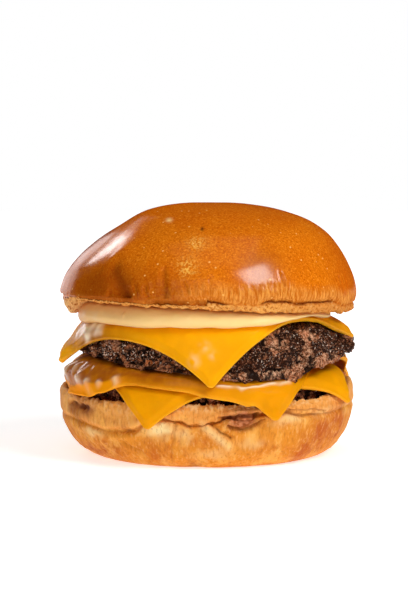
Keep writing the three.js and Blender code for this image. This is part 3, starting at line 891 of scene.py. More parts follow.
CHARRED = (  # angle, level, half width, half height and strength of each seared patch
    (-53.5, 46.3, 2.4, 2, 1), (-52, 42.8, 3, 2.2, 1), (-68, 41.7, 3.4, 2.2, 1),
    (-75.5, 36, 4, 2.6, 1), (-60.5, 37.8, 6, 1.8, 1), (-55, 39.2, 3, 1.8, 0.9),
    (-65.5, 36, 3, 1.8, 0.9), (-41, 41, 4.4, 2.6, 1),
    (-25, 43.5, 6.5, 4.5, 1), (-33, 45.8, 4, 1.8, 1), (-76.5, 31.2, 2.4, 1, 1),
    (-68.5, 31.4, 0.8, 1.6, 0.9), (-14, 40, 5, 3, 0.8),
)
FLESH = (
    (-60, 42.8, 4.6, 2, 1.1), (-43.5, 45.3, 4.4, 1.7, 1.1), (-46.4, 41, 1.8, 2.2, 1),
    (-63.5, 33.6, 5.5, 1.9, 1.3), (-48.5, 36.4, 4.6, 2.1, 1.3), (-35.5, 37.4, 4.6, 1.8, 1),
    (-73.5, 33.2, 3.4, 1.1, 1.1), (-65.6, 39.2, 1.6, 1.1, 0.7), (-56.5, 45, 1.6, 1.4, 0.6),
)
# where the char's painted glints crowd
SHINING = (
    (-140, 41.5, 6, 2.4, 1.2), (-131, 40.6, 6, 2.8, 1.2), (-120, 40.4, 7, 2.2, 1),
    (-147, 41, 3, 1.6, 0.8), (-62, 40, 8, 4, 0.35), (-34, 42, 8, 5, 0.35),
)
RUST = (
    (-114.5, 38.2, 2.2, 1.7, 1), (-121, 37.4, 1, 0.8, 0.7), (-44, 45.6, 1.6, 0.8, 0.6),
    (-104, 36.4, 1, 0.8, 0.5),
)
underside_level = around(
    (-148, 36.7), (-112, 34), (-95, 32.8), (-76, 30.5), (-55, 30.8), (-36, 34.4), (0, 36.2),
    (40, 36.8), (90, 34.8), (180, 36.8),
)
underside_radius = around(
    (-140, 47), (-100, 48.6), (-76, 51), (-50, 51), (0, 49), (90, 47.5), (180, 47),
)


def upper_patty(depth):
    """Lies on the lower pair of slices, thick and craggy at the front right, where it hangs low."""
    theta = columns()

    def face(reach):
        walked = reach * (1.0 - 0.1 * lobe(theta, -172, 14))
        height = over_slice_height(theta, walked) + LAYER + bridge(walked) - CLOSER
        return LOWER.above(theta, walked, height)

    def top(inward):
        return UPPER.above(theta, 51.0 - inward, 0.0)

    inner = face(44.5)
    edge = polar(theta, underside_radius(theta), underside_level(theta))
    rise = 0.6 + 1.6 * lobe(theta, -62, 30)
    arch = lerp(inner, edge, 0.5) + np.stack([0 * rise, 0 * rise, rise], -1)
    bulge = around((-135, 0.8), (-60, 1.4), (-5, 4), (60, 1.2), (180, 0.8))
    high = top(0.0)
    rim = rim_between(edge, high, [0.2, 0.42, 0.64, 0.85], bulge)
    rings = [pole(LOWER.level + CLEARANCE + 2 * LAYER - CLOSER), face(24.0), face(38.0), inner,
             arch, edge, *rim, high, top(3.0), top(6.0), top(9.5), top(14.0), top(26.0),
             pole(UPPER.level)]
    rows = [2, 2, 3, 4, 6, 11, 11, 11, 11, 10, 9, 9, 7, 5, 3, 2]
    grid = through(rings, rows)
    rough = spread([0, 0, 0.1, 0.2, 0.7, 1, 1, 1, 1, 1, 1, 0.9, 0.8, 0.4, 0.15, 0, 0], rows)
    lumps = mince(grid, 60)
    bare = 1.0 - ease(slice_reach(UPPER_CORNER, UPPER_OFFSET, theta), 48.0, 54.0)
    big = fractal(grid, 9.0, 2, 70)
    # seared patches stand out a little, and the lower edge stays brown
    front = ease(-grid[..., 1], 2.0, 16.0)
    low_edge = 1.0 - ease((grid[..., 2] - underside_level(theta)) / 8.0, 0.0, 0.6)
    field = 0.7 * fractal(grid * [1.0, 1.0, 1.2], 4.4, 3, 80) + 0.3 * noise(grid, 1.5, 84)
    flesh = zones(grid, FLESH)
    left = 1.0 - ease(theta, -100, -84)
    placed = 0.9 * zones(grid, CHARRED) - 0.9 * flesh + 0.4 * left - (0.2 + 0.55 * left) * low_edge
    char = ease(field + 0.02 + placed * front - 0.3 * low_edge * (1.0 - front), -0.04, 0.14)
    height = (lumps - lerp(0.5, 0.05, bare)) * (1.0 - 0.3 * left - 0.4 * left * low_edge)
    height = height + 0.35 * big * bare + 0.35 * char - 0.2
    flesh = np.maximum(flesh * front, ease(-field, 0.15, 0.5))
    grid = grid + normals(grid) * (depth * rough * height)[..., None]
    shine = zones(grid, SHINING) * front
    rust = zones(grid, RUST) * front
    return grid, {"lumps": lumps, "char": char, "flesh": flesh, "rust": rust, "shine": shine}


# --- top bun and sauce -------------------------------------------------------------------------

CUT_LEVEL = 55.6
CROWN_TOP_LEVEL = 89.7


def cut_level(theta, r):
    """The cut face: its edge is tilted and droops, and at the left its torn crumb hangs down."""
    turn = np.radians(theta)
    edge = (r / 50.0) ** 3 * (-2.5 * np.cos(turn) - 2.2 * np.sin(turn)) - 1.7 * ease(r, 38.0, 50.0)
    hanging = hump(r, 43.5, 46.0, 49.0, 53.0)
    return CUT_LEVEL + edge - 5.5 * hanging * lobe(theta, FLAP, 13)


sauce_reach = around(
    (-172, 43), (-155, 44.2), (-125, 45), (-90, 44.8), (-60, 46.5), (-32, 45.6), (-12, 41.6),
    (10, 40.4), (50, 42.5), (90, 43.5), (165, 41.5),
)


def sauce_layer(bulge):
    """Spread between the upper slice and the cut face, with a fat rounded side that swells by the
    bulge or seven tenths of its depth, whichever is less."""
    theta = columns()
    reach = sauce_reach(theta)

    def bottom(share):
        walked = share * reach
        height = CLEARANCE + LAYER + 2.0 * bridge(walked) - CLOSER
        return UPPER.above(theta, walked, height)

    def top(share):
        r = share * reach
        return polar(theta, r, cut_level(theta, r) - CLEARANCE + CLOSER)

    low, high = bottom(1.0), top(1.0)
    outward = polar(theta, 1.0, 0.0)
    depth = high[:, 2] - low[:, 2]
    clear = 1.0 - 0.5 * lobe(theta, FLAP, 20)  # under the bun's torn flap
    sides = []
    for t in (0.12, 0.3, 0.5, 0.7, 0.88):
        swell = clear * np.minimum(bulge, 0.7 * depth) * np.sin(np.pi * t**0.8) ** 0.6
        sides.append(lerp(low, high, t) + outward * swell[:, None])
    rings = [pole(UPPER.level + CLEARANCE + LAYER - CLOSER), bottom(0.5), bottom(0.78),
             bottom(0.89), low, *sides, high, top(0.89), top(0.78), top(0.5),
             pole(CUT_LEVEL - CLEARANCE + CLOSER)]
    rows = [2, 3, 4, 8, 5, 6, 6, 6, 6, 5, 6, 4, 3, 2]
    grid = through(rings, rows)
    free = spread([0, 0, 0, 0.2, 0.7, 1, 1, 1, 1, 0.7, 0.2, 0, 0, 0, 0], rows)
    drop = patch(grid, -125.8, 53.3, 0.5, 1.0)
    wave = 0.5 * noise(grid * [1.0, 1.0, 0.5], 9.0, 91) + 0.12 * noise(grid, 2.5, 92) + 0.5 * drop
    grid = grid + normals(grid) * (free * wave)[..., None]
    below = cut_level(theta, 46.0) - grid[..., 2] + 0.6 * noise(grid, 6.0, 95)
    shade = 0.8 * (1.0 - ease(below, 0.2, 1.8))
    ends = 0.8 * lobe(theta, -168, 16) + 0.3 * lobe(theta, -138, 26) + 0.4 * lobe(theta, -25, 28)
    return grid, {"shade": np.clip(shade + ends, 0.0, 1.0), "drop": drop * free}


def crown_radius(theta):
    """A little wider at the right than at the left."""
    return lerp(52.7, 53.5, 0.5 + 0.5 * np.cos(np.radians(theta)))


crown_widest = around((-90, 60.6), (0, 57.6), (90, 56.6), (180, 58))
band_height = around(
    (-180, 0.7), (-150, 0.4), (-120, 0.4), (-108, 1.0), (-90, 1.8), (-80, 1.2), (-72, 1.3),
    (-66, 2.8), (-59, 2.8), (-54, 2.3), (-45, 2.8), (-35, 3.2), (-26, 1.7), (0, 2.2), (60, 1.6),
    (120, 1.4),
)
crease_share = around(
    (-180, 0), (-113, 0), (-108, 1), (-99, 1), (-96, 0.5), (-92, 1), (-85, 1), (-81, 0.15),
    (-71, 0.1), (-67, 1), (-58, 1), (-55, 0.7), (-50, 1), (-36, 1), (-30, 0.2), (0, 0.4), (60, 0.8),
    (120, 0.5),
)
wrinkled_height = around(
    (-180, 2), (-112, 1.5), (-104, 5), (-90, 7.5), (-60, 8), (-45, 6), (-20, 6), (60, 5),
)
DENTS = (  # depth, half width and route of each wrinkle in the top crust
    (0.4, 1.0, ((-107.6, 69), (-106.6, 64), (-106, 60.4))),
    (0.8, 2.2, ((-131, 69), (-126, 64), (-122, 60.4))),
    (0.4, 0.7, ((-118.5, 64), (-117, 60.6))),
    (0.4, 0.6, ((-114, 63.5), (-112.5, 60.4))),
    (0.2, 0.5, ((-92.4, 66), (-91.6, 62.2))),
    (0.2, 0.6, ((-89, 66.8), (-88.6, 62))),
    (0.15, 0.6, ((-95, 65), (-94.4, 61.8))),
    (0.25, 0.6, ((-99, 65.6), (-97.6, 61.8))),
    (0.45, 0.4, ((-60.2, 68), (-59.6, 64))),
    (0.5, 0.5, ((-27.4, 65), (-27.6, 59.6))),
    (0.35, 0.5, ((-22.5, 64.5), (-22.8, 59.2))),
)


def dome(theta, climb):
    """A superellipse from the widest ring to the top, fuller at the right than at the left, with
    two soft folds that rise from the cut at the front left and a dent above them."""
    left = 1.74 + 0.42 * ease(climb, 0.5, 0.85)
    right = 1.98 + 0.4 * ease(climb, 0.15, 0.55)
    power = lerp(left, right, 0.5 + 0.5 * np.cos(np.radians(theta)))
    turn = climb * np.pi / 2
    out, up = np.cos(turn) ** (2.0 / power), np.sin(turn) ** (2.0 / power)
    folds = 1.1 * lobe(theta, -125, 5) + 0.7 * lobe(theta, -108, 4)
    dent = 1.2 * lobe(theta, -165, 22) * bell(climb, 0.42, 0.14)
    r = crown_radius(theta) * out - folds * (1.0 - ease(climb, 0.0, 0.35)) - dent
    return polar(theta, r, lerp(crown_widest(theta), CROWN_TOP_LEVEL, up))


def top_bun(wrinkle):
    """Rings run out along the cut face, round the torn crumb band and the crease above it, and up
    the dome. Fine upright wrinkles cover the lowest part of the crust."""
    theta = columns()
    rim_line = polar(theta, 53.0, 0.0)
    torn = 0.8 * noise(rim_line, 5.0, 119) + noise(rim_line, 2.2, 120)
    torn = (torn + 0.7 * noise(rim_line, 1.0, 121)) * (1.1 + 1.2 * lobe(theta, FLAP, 14))
    teeth = np.maximum(0.0, noise(rim_line, 1.7, 122) - 0.12)
    band = band_height(theta)
    sharp = crease_share(theta)
    thick = 0.4 + 0.6 * hump(theta, -118, -104, 150, 180)

    def cut(r):
        return polar(theta, r, cut_level(theta, r))

    def rim(inward, rise, raggedness, tooth=0.0):
        r = crown_radius(theta) - inward
        return polar(theta, r, cut_level(theta, r) + rise + raggedness * torn - tooth * teeth)

    climbs = [0.0, 0.1, 0.2, 0.31, 0.43, 0.56, 0.7, 0.85, 0.95]
    tops = [dome(theta, climb) for climb in climbs]
    rings = [
        pole(CUT_LEVEL), cut(24.0), cut(42.0), cut(46.0), rim(3.4, -0.1, 0.3),
        rim(1.9, 0.1, 0.5, 1.2), rim(1.25, 0.45 * band, 0.4, 0.8),
        rim(0.9 + 0.2 * sharp, thick * (0.9 * band + 0.3), 0.4),
        rim(0.9 + 0.9 * sharp, thick * (band + 0.75), 0.35), rim(0.6, band + 1.3 * thick + 0.2, 0.2),
        rim(0.25, lerp(band + 1.4, crown_widest(theta) - cut_level(theta, 53.0), 0.55), 0.0),
        *tops, pole(CROWN_TOP_LEVEL),
    ]
    rows = [2, 2, 3, 5, 5, 5, 5, 4, 4, 6, 8] + [12, 11, 10, 9, 8, 7, 5, 3] + [2]
    grid = through(rings, rows)
    crumb = spread([1, 1, 1, 1, 1, 1, 1, 0.8, 0, 0] + [0] * 11, rows)
    crust = spread([0, 0, 0, 0, 0, 0.1, 0.2, 0.3, 0.8, 1, 1] + [1] * 10, rows)
    free = spread([0, 0, 0, 0.3] + [1] * 16 + [0], rows)
    z = grid[..., 2]
    above_cut = z - cut_level(theta, 52.0) - band
    # the pale wrinkled band is highest at the front right and runs out at the front left
    low = (1.0 - ease(above_cut / wrinkled_height(theta), 0.55, 1.25)) * crust
    upright = np.stack([theta + 2.2 * noise(grid, 8.0, 130), z / 6.0, 0 * z], -1)
    ribs = 0.6 * noise(upright, 2.0, 130) + noise(upright, 1.0, 131) + 0.9 * noise(upright, 0.6, 132)
    right = 0.2 + 0.8 * ease(np.cos(np.radians(theta + 48.0)), 0.5, 0.95) + 0.4 * lobe(theta, 90, 60)
    lumps = fractal(grid, 17.0, 2, 140)
    pores = fractal(grid, 1.3, 3, 141)
    height = 0.3 * lumps * crust + wrinkle * ribs * low * (0.35 + 0.65 * right)
    height = height + crumb * (0.4 * pores + 0.55 * noise(grid, 2.4, 142))
    dent_shade = np.zeros_like(z)
    wander = grid + 0.5 * noise(grid, 4.0, 150)[..., None]
    for depth, width, route in DENTS:
        away = trail(wander, *route)
        height = height - depth * bell(away, 0.0, width)
        height = height + 0.3 * depth * bell(away, 2.2 * width, width)
        dent_shade = np.maximum(dent_shade, depth * bell(away, 0.0, 0.9 * width))
    grid = grid + normals(grid) * (height * free)[..., None]
    # painted shade in the crease above the crumb band and in the dents
    crease = bell(above_cut, 0.7, 0.7) * sharp * spread([0] * 7 + [0.7, 1, 0.5] + [0] * 11, rows)
    front = ease(-grid[..., 1], -18.0, -8.0)
    x = grid[..., 0]
    # the glaze is thick at the left, down to a slanting border, and in a patch at the right
    low_side = -0.587 * (x + 45.8) + 0.81 * (z - 63.2)
    right_side = -0.858 * (x + 29.5) + 0.513 * (z - 73.3)
    ragged = noise(grid, 3.0, 160) + noise(grid, 1.1, 162)
    border = np.maximum(low_side, -(x + 45.6))
    glaze = ease(border + 0.4 * ragged, 0.0, 1.3) * ease(right_side + 1.4 * ragged, -1.5, 3.0)
    streaks = ease(noise(upright, 0.9, 163) + 0.5 * noise(grid, 1.0, 164), -0.35, 0.35)
    glaze = glaze * (0.6 + 0.3 * streaks + 0.3 * ease(z, 66.0, 72.0))
    glaze = glaze * (1.0 - 0.9 * ease(z + ragged, 77.0, 82.0))

    def mark(across, level, width, height):
        return np.exp(-(((x - across) / width) ** 2) - ((z - level) / height) ** 2)

    wet = mark(18.5, 67.6, 8.0 / 1.15, 8.0)
    patches = 0.72 * glaze + wet * (0.9 + 0.5 * ease(noise(upright, 0.8, 165), -0.3, 0.3))
    plain = 0.22 - 0.22 * lobe(theta, -150, 40)
    gloss = lerp(0.5 + 0.3 * noise(grid, 15.0, 161), plain + patches, front)
    mottle = mark(-3.7, 78.2, 3.2, 2.0) + mark(-7.0, 70.5, 3.36, 2.8)
    flake = mark(-13.4, 85.2, 1.0, 0.5)
    spot = mark(-1.8, 82.6, 0.55, 0.55)
    # painted shade: darker crust at the front left, away from the key light
    lower_left_shade = lobe(theta, -137, 28) * (1.0 - ease(z, 63.0, 77.0))
    lower_left_shade = lower_left_shade + 0.45 * lobe(theta, -104, 9) * (1.0 - ease(z, 62.0, 70.0))
    # darker at the back, at the top and at the far right: crust baked longer, and painted shade
    # along the silhouettes
    rear = [ease(grid[..., 1], -16.0, 8.0), 0.3 * ease(z, 80.0, 89.0), 0.6 * ease(x, 36.0, 53.0)]
    return grid, {
        "crumb": crumb, "ribs": ribs, "band": low * right, "crease": np.maximum(crease, 0.8 * dent_shade),
        "mottle": mottle * front, "wet": wet * front, "flake": flake * front,
        "spot": spot * front, "gloss": np.clip(gloss, 0.0, 1.0), "lower_left_shade": np.clip(lower_left_shade, 0.0, 1.0),
        "rear": np.maximum.reduce(rear) * crust, "flap": crumb * lobe(theta, FLAP, 16),
        # painted shade: the crumb darker at the right, where the key light falls most
        "dim": crumb * ease(x, 15.0, 45.0),
    }


# --- settings ----------------------------------------------------------------------------------


def tint(name, description, *screen):
    """A colour setting whose default is given as 0 to 255 screen values."""
    return FloatVectorProperty(name=name, description=description, subtype="COLOR", size=3,
                               min=0.0, max=1.0, default=linear(*screen))


def number(name, description, default, low, high, unit="NONE"):
    """A setting between two limits."""
    return FloatProperty(name=name, description=description, default=default, min=low, max=high,
                         unit=unit)


class BurgerBread(bpy.types.PropertyGroup):
    crust: tint("Top crust", "Glazed crust of the top bun", 222, 118, 10)
    # also paints shade along the top crust's silhouettes
    baked: tint("Dark crust", "Top crust where it baked longest", 178, 60, 4)
    band: tint("Pale band", "Lowest part of the top crust, where it baked least", 244, 166, 74)
    crumb: tint("Crumb", "Cut and torn bread", 244, 172, 86)
    heel: tint("Bottom crust", "Crust of the bottom bun", 228, 144, 40)
    toasted: tint("Toasted", "Darker patches of the bottom crust", 196, 96, 22)
    wrinkle: number("Wrinkles", "Depth of the upright wrinkles in millimetres", 0.2, 0.0, 1.0)
    relief: number("Relief", "Strength of the bottom bun's dents and folds", 1.0, 0.0, 2.0)


class BurgerFilling(bpy.types.PropertyGroup):
    char: tint("Char", "Seared crust of the beef", 40, 18, 10)
    meat: tint("Meat", "Cooked beef between the charred parts", 190, 116, 76)
    cheese: tint("Cheese", "Body of the slices", 246, 166, 0)
    rind: tint("Cut edge", "Edge of a slice", 255, 176, 44)
    # the juice colour also paints shade on the slices
    juice_and_shade: tint("Juice", "Meat juice on the cheese", 138, 58, 8)
    sauce: tint("Sauce", "Body of the sauce", 255, 218, 146)
    depth: number("Crag depth", "Depth of the beef's crags in millimetres", 2.0, 0.0, 3.0)
    bulge: number("Sauce bulge", "How far the sauce swells out in millimetres", 4.0, 0.0, 5.0)


class BurgerStudio(bpy.types.PropertyGroup):
    floor: number("Floor", "Radius of the floor", 1.4, 0.5, 20.0, "LENGTH")
    key: number("Key light", "Power of the soft light at the front right", 4.6, 0.0, 200.0, "POWER")
    rear: number("Rear light", "Power of the soft light at the left rear", 1.2, 0.0, 200.0, "POWER")
    lens: number("Lens", "Focal length of the camera", 163.4, 20.0, 400.0, "CAMERA")


# --- operators ---------------------------------------------------------------------------------


class BURGER_OT_bottom_bun(bpy.types.Operator):
    """Build the bottom bun"""

    bl_idname = "burger.bottom_bun"
    bl_label = "Bottom Bun"

    def execute(self, context):
        bread = context.scene.burger_bread
        grid, masks = bottom_bun(bread.relief)
        f = Finish("bottom_crust", Roughness=0.6, Specular_IOR_Level=0.12)
        fibre = f.noise(0.9, 4.0, 0.6, tall=4.0)
        cloud = f.scale(f.step(f.noise(5.0, 4.0, 0.6), 0.3, 0.6), 0.45, 1.0)
        golden = f.step(f.noise(6.5, 4.0, 0.6, tall=1.6), 0.48, 0.66)
        flesh = f.blend((136, 64, 32), (196, 124, 86), f.step(f.noise(2.0, 4.0, 0.6), 0.45, 0.6))
        # painted shade: dark in the pit under the torn lip
        pit_shade = f.plus(f.mask("pit"), f.scale(f.noise(2.2, 4.0, 0.6), -0.35, 0.35))
        colour = f.layers(
            bread.heel,
            ("lip", 1.0, (238, 158, 72)),
            (f.times(f.mask("toast"), cloud), 1.0, bread.toasted),
            ("pale", 0.95, (255, 230, 166)),
            (golden, 0.55, (252, 188, 90)),
            (f.step(fibre, 0.47, 0.35), 0.4, (176, 88, 28)),
            (f.step(fibre, 0.52, 0.7), 0.32, (255, 212, 140)),
            ("crumb", 0.9, bread.crumb),
            ("soaked", 0.85, flesh),
            ("fringe", 0.6, (252, 214, 158)),
            # stains, with painted shade round the pit and under the base
            ("stain_and_shade", 0.8, (150, 78, 38)),
            (f.step(pit_shade, 0.3, 0.75), 0.8, (96, 38, 14)),
            # painted shade in the grooves, in the crease under the lip and along the bottom edge
            ("groove_and_base_shade", 0.55, (116, 54, 18)),
        )
        f.feed("Base Color", colour)
        f.bump((f.noise(0.8, 3.0, 0.6), 0.2), (fibre, 0.2), (f.noise(3.0, 3.0, 0.5), 0.4))
        place(skin("bottom_bun_crust", grid, masks), f, "bottom_bun", "bottom_crust")
        return {"FINISHED"}


class BURGER_OT_patties(bpy.types.Operator):
    """Build both patties"""

    bl_idname = "burger.patties"
    bl_label = "Patties"

    def execute(self, context):
        filling = context.scene.burger_filling
        plans = (
            # the lower patty's char is painted lighter to offset the shade it lies in: painted light
            ("lower_patty", lower_patty, (112, 60, 40)),
            ("upper_patty", upper_patty, filling.char),
        )
        for name, make, scorched in plans:
            grid, masks = make(filling.depth)
            f = Finish(f"{name}_beef", Coat_Weight=0.05, Coat_Roughness=0.12,
                       Specular_IOR_Level=0.12, Specular_Tint=(1.0, 0.62, 0.42, 1.0))
            grain = f.noise(0.7, 4.0, 0.65)
            tone = f.noise(2.4, 4.0, 0.6, warp=0.6)
            speck = f.noise(0.66, 2.0, 0.5)
            flesh = f.times(f.mask("flesh"), f.scale(f.step(tone, 0.38, 0.56), 0.15, 0.95))
            meat = f.layers(
                filling.meat,
                (f.step(tone, 0.52, 0.38), 1.0, (88, 48, 26)),
                # pale fat flecks, partly painted highlights
                (flesh, 1.0, f.blend((158, 96, 64), (250, 210, 174), f.step(grain, 0.45, 0.58))),
                (f.step(grain, 0.52, 0.62), 0.75, (240, 186, 146)),
                (f.step(grain, 0.47, 0.37), 0.85, (60, 28, 14)),
                ("rust", 0.75, (206, 104, 40)),
                # painted shade: darkest in the crevices between the lumps
                (f.step(f.mask("lumps"), 0.04, -0.36), 1.0, (34, 17, 11)),
            )
            # painted highlights: pale specks and white glints on the char stand in for glints of
            # light
            glint_specks = f.step(f.plus(speck, f.times(f.mask("shine"), 0.07)), 0.57, 0.66)
            glint_specks = f.times(glint_specks, f.scale(f.step(tone, 0.34, 0.48), 0.45, 1.0))
            glint = f.step(f.plus(f.noise(0.7, 1.0), f.times(f.mask("shine"), 0.11)), 0.68, 0.74)
            char = f.layers(
                scorched,
                (f.step(tone, 0.48, 0.64), 0.7, (92, 46, 25)),
                (glint_specks, 0.85, (192, 132, 100)),
                (f.times(glint, f.step(grain, 0.46, 0.56)), 1.0, (255, 232, 214)),
            )
            ragged = f.plus(f.mask("char"), f.scale(grain, -0.7, 0.7))
            f.feed("Base Color", f.blend(meat, char, f.step(ragged, 0.32, 0.7)))
            f.feed("Roughness", f.scale(f.step(f.noise(2.2, 3.0, 0.6), 0.4, 0.65), 0.5, 0.26))
            f.bump((grain, 0.8), (speck, 0.5), (f.noise(0.4, 2.0), 0.15))
            place(skin(f"{name}_beef", grid, masks), f, name, "beef")
        return {"FINISHED"}


def cheese_finish(name, filling, shade, glaze):
    """Smooth orange cheese with a paler cut edge, brown juice and painted shade where its mask says,
    fat and painted highlights where its mask says, and a coat that is thicker where the juice and
    fat are."""
    f = Finish(name, Subsurface_Weight=0.2, Subsurface_Scale=0.003, Roughness=0.55,
               Subsurface_Radius=(1.0, 0.45, 0.08), Specular_IOR_Level=0.04, Coat_Roughness=0.12)
    # painted shade: the body's colour scaled down for the slices that lie in shade
    body = [k * v for k, v in zip(shade, filling.cheese)]
    cloud = f.noise(4.0, 4.0, 0.6)
    stain_and_shade = f.times(f.mask("juice_and_shade"), f.scale(f.step(cloud, 0.3, 0.6), 0.75, 1.0))
    colour = f.layers(
        body,
        (f.step(f.noise(9.0, 3.0, 0.5), 0.35, 0.7), 1.0, [1.12 * v for v in body]),
        ("rind", 0.7, filling.rind),
        # juice stains, and painted shade under the upper patty
        (stain_and_shade, 0.9, filling.juice_and_shade),
        ("lip", 0.9, (255, 150, 6)),
        # fat, and painted highlights on the wet lumps and dimples
        ("fat_and_highlight", 1.0, (255, 232, 200)),
        (f.step(f.plus(f.mask("crumbs"), cloud), 0.95, 1.1), 1.0, (40, 20, 14)),
    )
    f.feed("Base Color", colour)
    wet = f.plus(f.times(f.mask("juice_and_shade"), glaze), f.mask("fat_and_highlight"))
    f.feed("Coat Weight", f.scale(f.step(wet, 0.1, 0.8), 0.03, 0.8))
    f.bump((f.noise(1.6, 3.0, 0.5), 0.1), (f.noise(6.0, 2.0, 0.5), 0.3))
    return f


class BURGER_OT_cheese(bpy.types.Operator):
    """Build the three slices of cheese"""

    bl_idname = "burger.cheese"
    bl_label = "Cheese Slices"

    def execute(self, context):
        filling = context.scene.burger_filling
        plans = (  # name, share of the body's colour (painted shade: the lower slices are darker copies of the same cheese), coat on the juice and its painted shade, and shape
            ("lower_cheese_under", (0.9, 0.86, 1.0), 0.45, LOWER, UNDER_CORNER, UNDER_OFFSET,
             under_melt, lambda a, w: CLEARANCE + bridge(w), under_wave),
            ("lower_cheese_over", (0.86, 0.78, 1.0), 0.45, LOWER, OVER_CORNER, OVER_OFFSET,
             over_melt, over_slice_height, over_wave),
            ("upper_cheese", (1.0, 1.0, 1.0), 0.6, UPPER, UPPER_CORNER, UPPER_OFFSET,
             upper_melt, lambda a, w: CLEARANCE + 1.4 * bridge(w), upper_wave),
        )
        for name, shade, glaze, *shape in plans:
            grid, *places = cheese_slice(*shape)
            masks = cheese_masks(name, *places)
            finish = cheese_finish(f"{name}_finish", filling, shade, glaze)
            place(skin(f"{name}_slice", grid, masks), finish, name, "cheese")
        return {"FINISHED"}


class BURGER_OT_sauce(bpy.types.Operator):
    """Build the layer of sauce"""

    bl_idname = "burger.sauce"
    bl_label = "Sauce"

    def execute(self, context):
        filling = context.scene.burger_filling
        grid, masks = sauce_layer(filling.bulge)
        f = Finish("sauce_finish", Roughness=0.5, Specular_IOR_Level=0.15, Subsurface_Weight=0.25,
                   Subsurface_Scale=0.003, Subsurface_Radius=(1.0, 0.6, 0.3), Coat_Weight=0.25,
                   Coat_Roughness=0.18)
        shaded = f.layers(filling.sauce, ("shade", 0.85, (200, 106, 28)))
        f.feed("Base Color", f.layers(shaded, ("drop", 1.0, (236, 184, 116))))
        f.bump((f.noise(3.0, 3.0, 0.5), 0.2))
        place(skin("sauce_layer", grid, masks), f, "sauce", "sauce")
        return {"FINISHED"}


class BURGER_OT_top_bun(bpy.types.Operator):
    """Build the top bun"""

    bl_idname = "burger.top_bun"
    bl_label = "Top Bun"

    def execute(self, context):
        bread = context.scene.burger_bread
        grid, masks = top_bun(bread.wrinkle)
        f = Finish("top_crust", Specular_IOR_Level=0.0, Coat_Roughness=0.18)
        speck = f.noise(0.7, 3.0, 0.7)
        streak = f.noise(0.55, 4.0, 0.65, tall=9.0)
        torn = f.noise(1.1, 4.0, 0.7)
        # painted highlight on the wrinkles' crests and painted shade in their valleys, mixed with
        # random streaks
        lit_crests_and_streaks = f.plus(f.times(f.mask("ribs"), 0.6), f.scale(streak, -1.9, 1.9))
        fleck = f.times(f.mask("mottle"), f.step(f.noise(0.9, 4.0, 0.7), 0.46, 0.6))
        crumb = f.layers(
            bread.crumb,
            ("flap", 0.7, (255, 206, 150)),
            (f.step(torn, 0.49, 0.37), 1.0, (190, 100, 34)),
            (f.step(torn, 0.54, 0.68), 1.0, (255, 206, 132)),
            # painted shade on the crumb at the right
            ("dim", 0.5, (206, 112, 34)),
        )
        colour = f.layers(
            bread.crust,
            (f.step(f.noise(14.0, 3.0, 0.5), 0.4, 0.65), 0.6, (214, 106, 6)),
            (f.step(speck, 0.49, 0.36), 0.65, (182, 68, 2)),
            (f.step(speck, 0.53, 0.68), 0.75, (248, 158, 44)),
            # crust baked longer, and painted shade along the silhouettes
            ("rear", 0.6, bread.baked),
            ("wet", 0.75, (168, 84, 14)),
            # painted shade at the front left
            ("lower_left_shade", 0.75, (136, 54, 6)),
            # pale band, with painted highlight and shade on its wrinkles
            ("band", 0.9, f.blend((200, 104, 22), bread.band, f.step(lit_crests_and_streaks, -0.7, 0.8))),
            (fleck, 0.8, (255, 206, 92)),
            (f.step(f.cells(4.5), 0.1, 0.05), 0.8, (255, 200, 110)),
            ("flake", 1.0, (255, 214, 140)),
            ("spot", 1.0, (70, 22, 8)),
            # painted shade in the crease and the dents
            ("crease", 0.85, (112, 40, 8)),
            ("crumb", 1.0, crumb),
        )
        f.feed("Base Color", colour)
        f.feed("Roughness", f.scale(f.mask("crumb"), 0.5, 0.85))
        dull = f.calc("MAXIMUM", f.mask("crumb"), f.times(f.mask("band"), 0.85))
        dull = f.calc("MINIMUM", 1.0, f.plus(dull, f.times(f.mask("crease"), 1.6)))
        gloss = f.times(f.mask("gloss"), f.calc("SUBTRACT", 1.0, dull))
        f.feed("Coat Weight", f.scale(gloss, 0.02, 1.0))
        f.bump((speck, 0.18), (streak, f.times(f.mask("band"), 0.5)), (f.noise(2.5, 2.0), 0.15),
               (torn, f.times(f.mask("crumb"), 0.9)))
        place(skin("top_bun_crust", grid, masks), f, "top_bun", "top_crust")
        return {"FINISHED"}


def link(name, data):
    """Puts data into the scene as an object."""
    made = bpy.data.objects.new(name, data)
    bpy.context.scene.collection.objects.link(made)
    return made


def facing(lift, turn=0.0):
    """The direction at an angle above the floor. Turn 0 is the front and 90 the right."""
    lift, turn = np.radians(lift), np.radians(turn)
    return Vector((np.sin(turn) * np.cos(lift), -np.cos(turn) * np.cos(lift), np.sin(lift)))


def soft_light(name, turn, lift, distance, size, power, colour):
    """An area light that looks at the burger's middle."""
    light = bpy.data.lights.new(name, "AREA")
    light.shape = "RECTANGLE"
    light.size, light.size_y = size
    light.energy = power
    light.color = colour
    lamp = link(name, light)
    way = facing(lift, turn)
    lamp.location = LIT + way * distance
    lamp.rotation_euler = way.to_track_quat("Z", "Y").to_euler()


LIT = Vector((0.0, 0.0, 0.05))  # where the lights aim
SEEN = Vector((-0.0012, 0.0, 0.0525))  # and the camera, in metres
CAMERA_LIFT = 5.5
CORNERS = 96  # of the floor


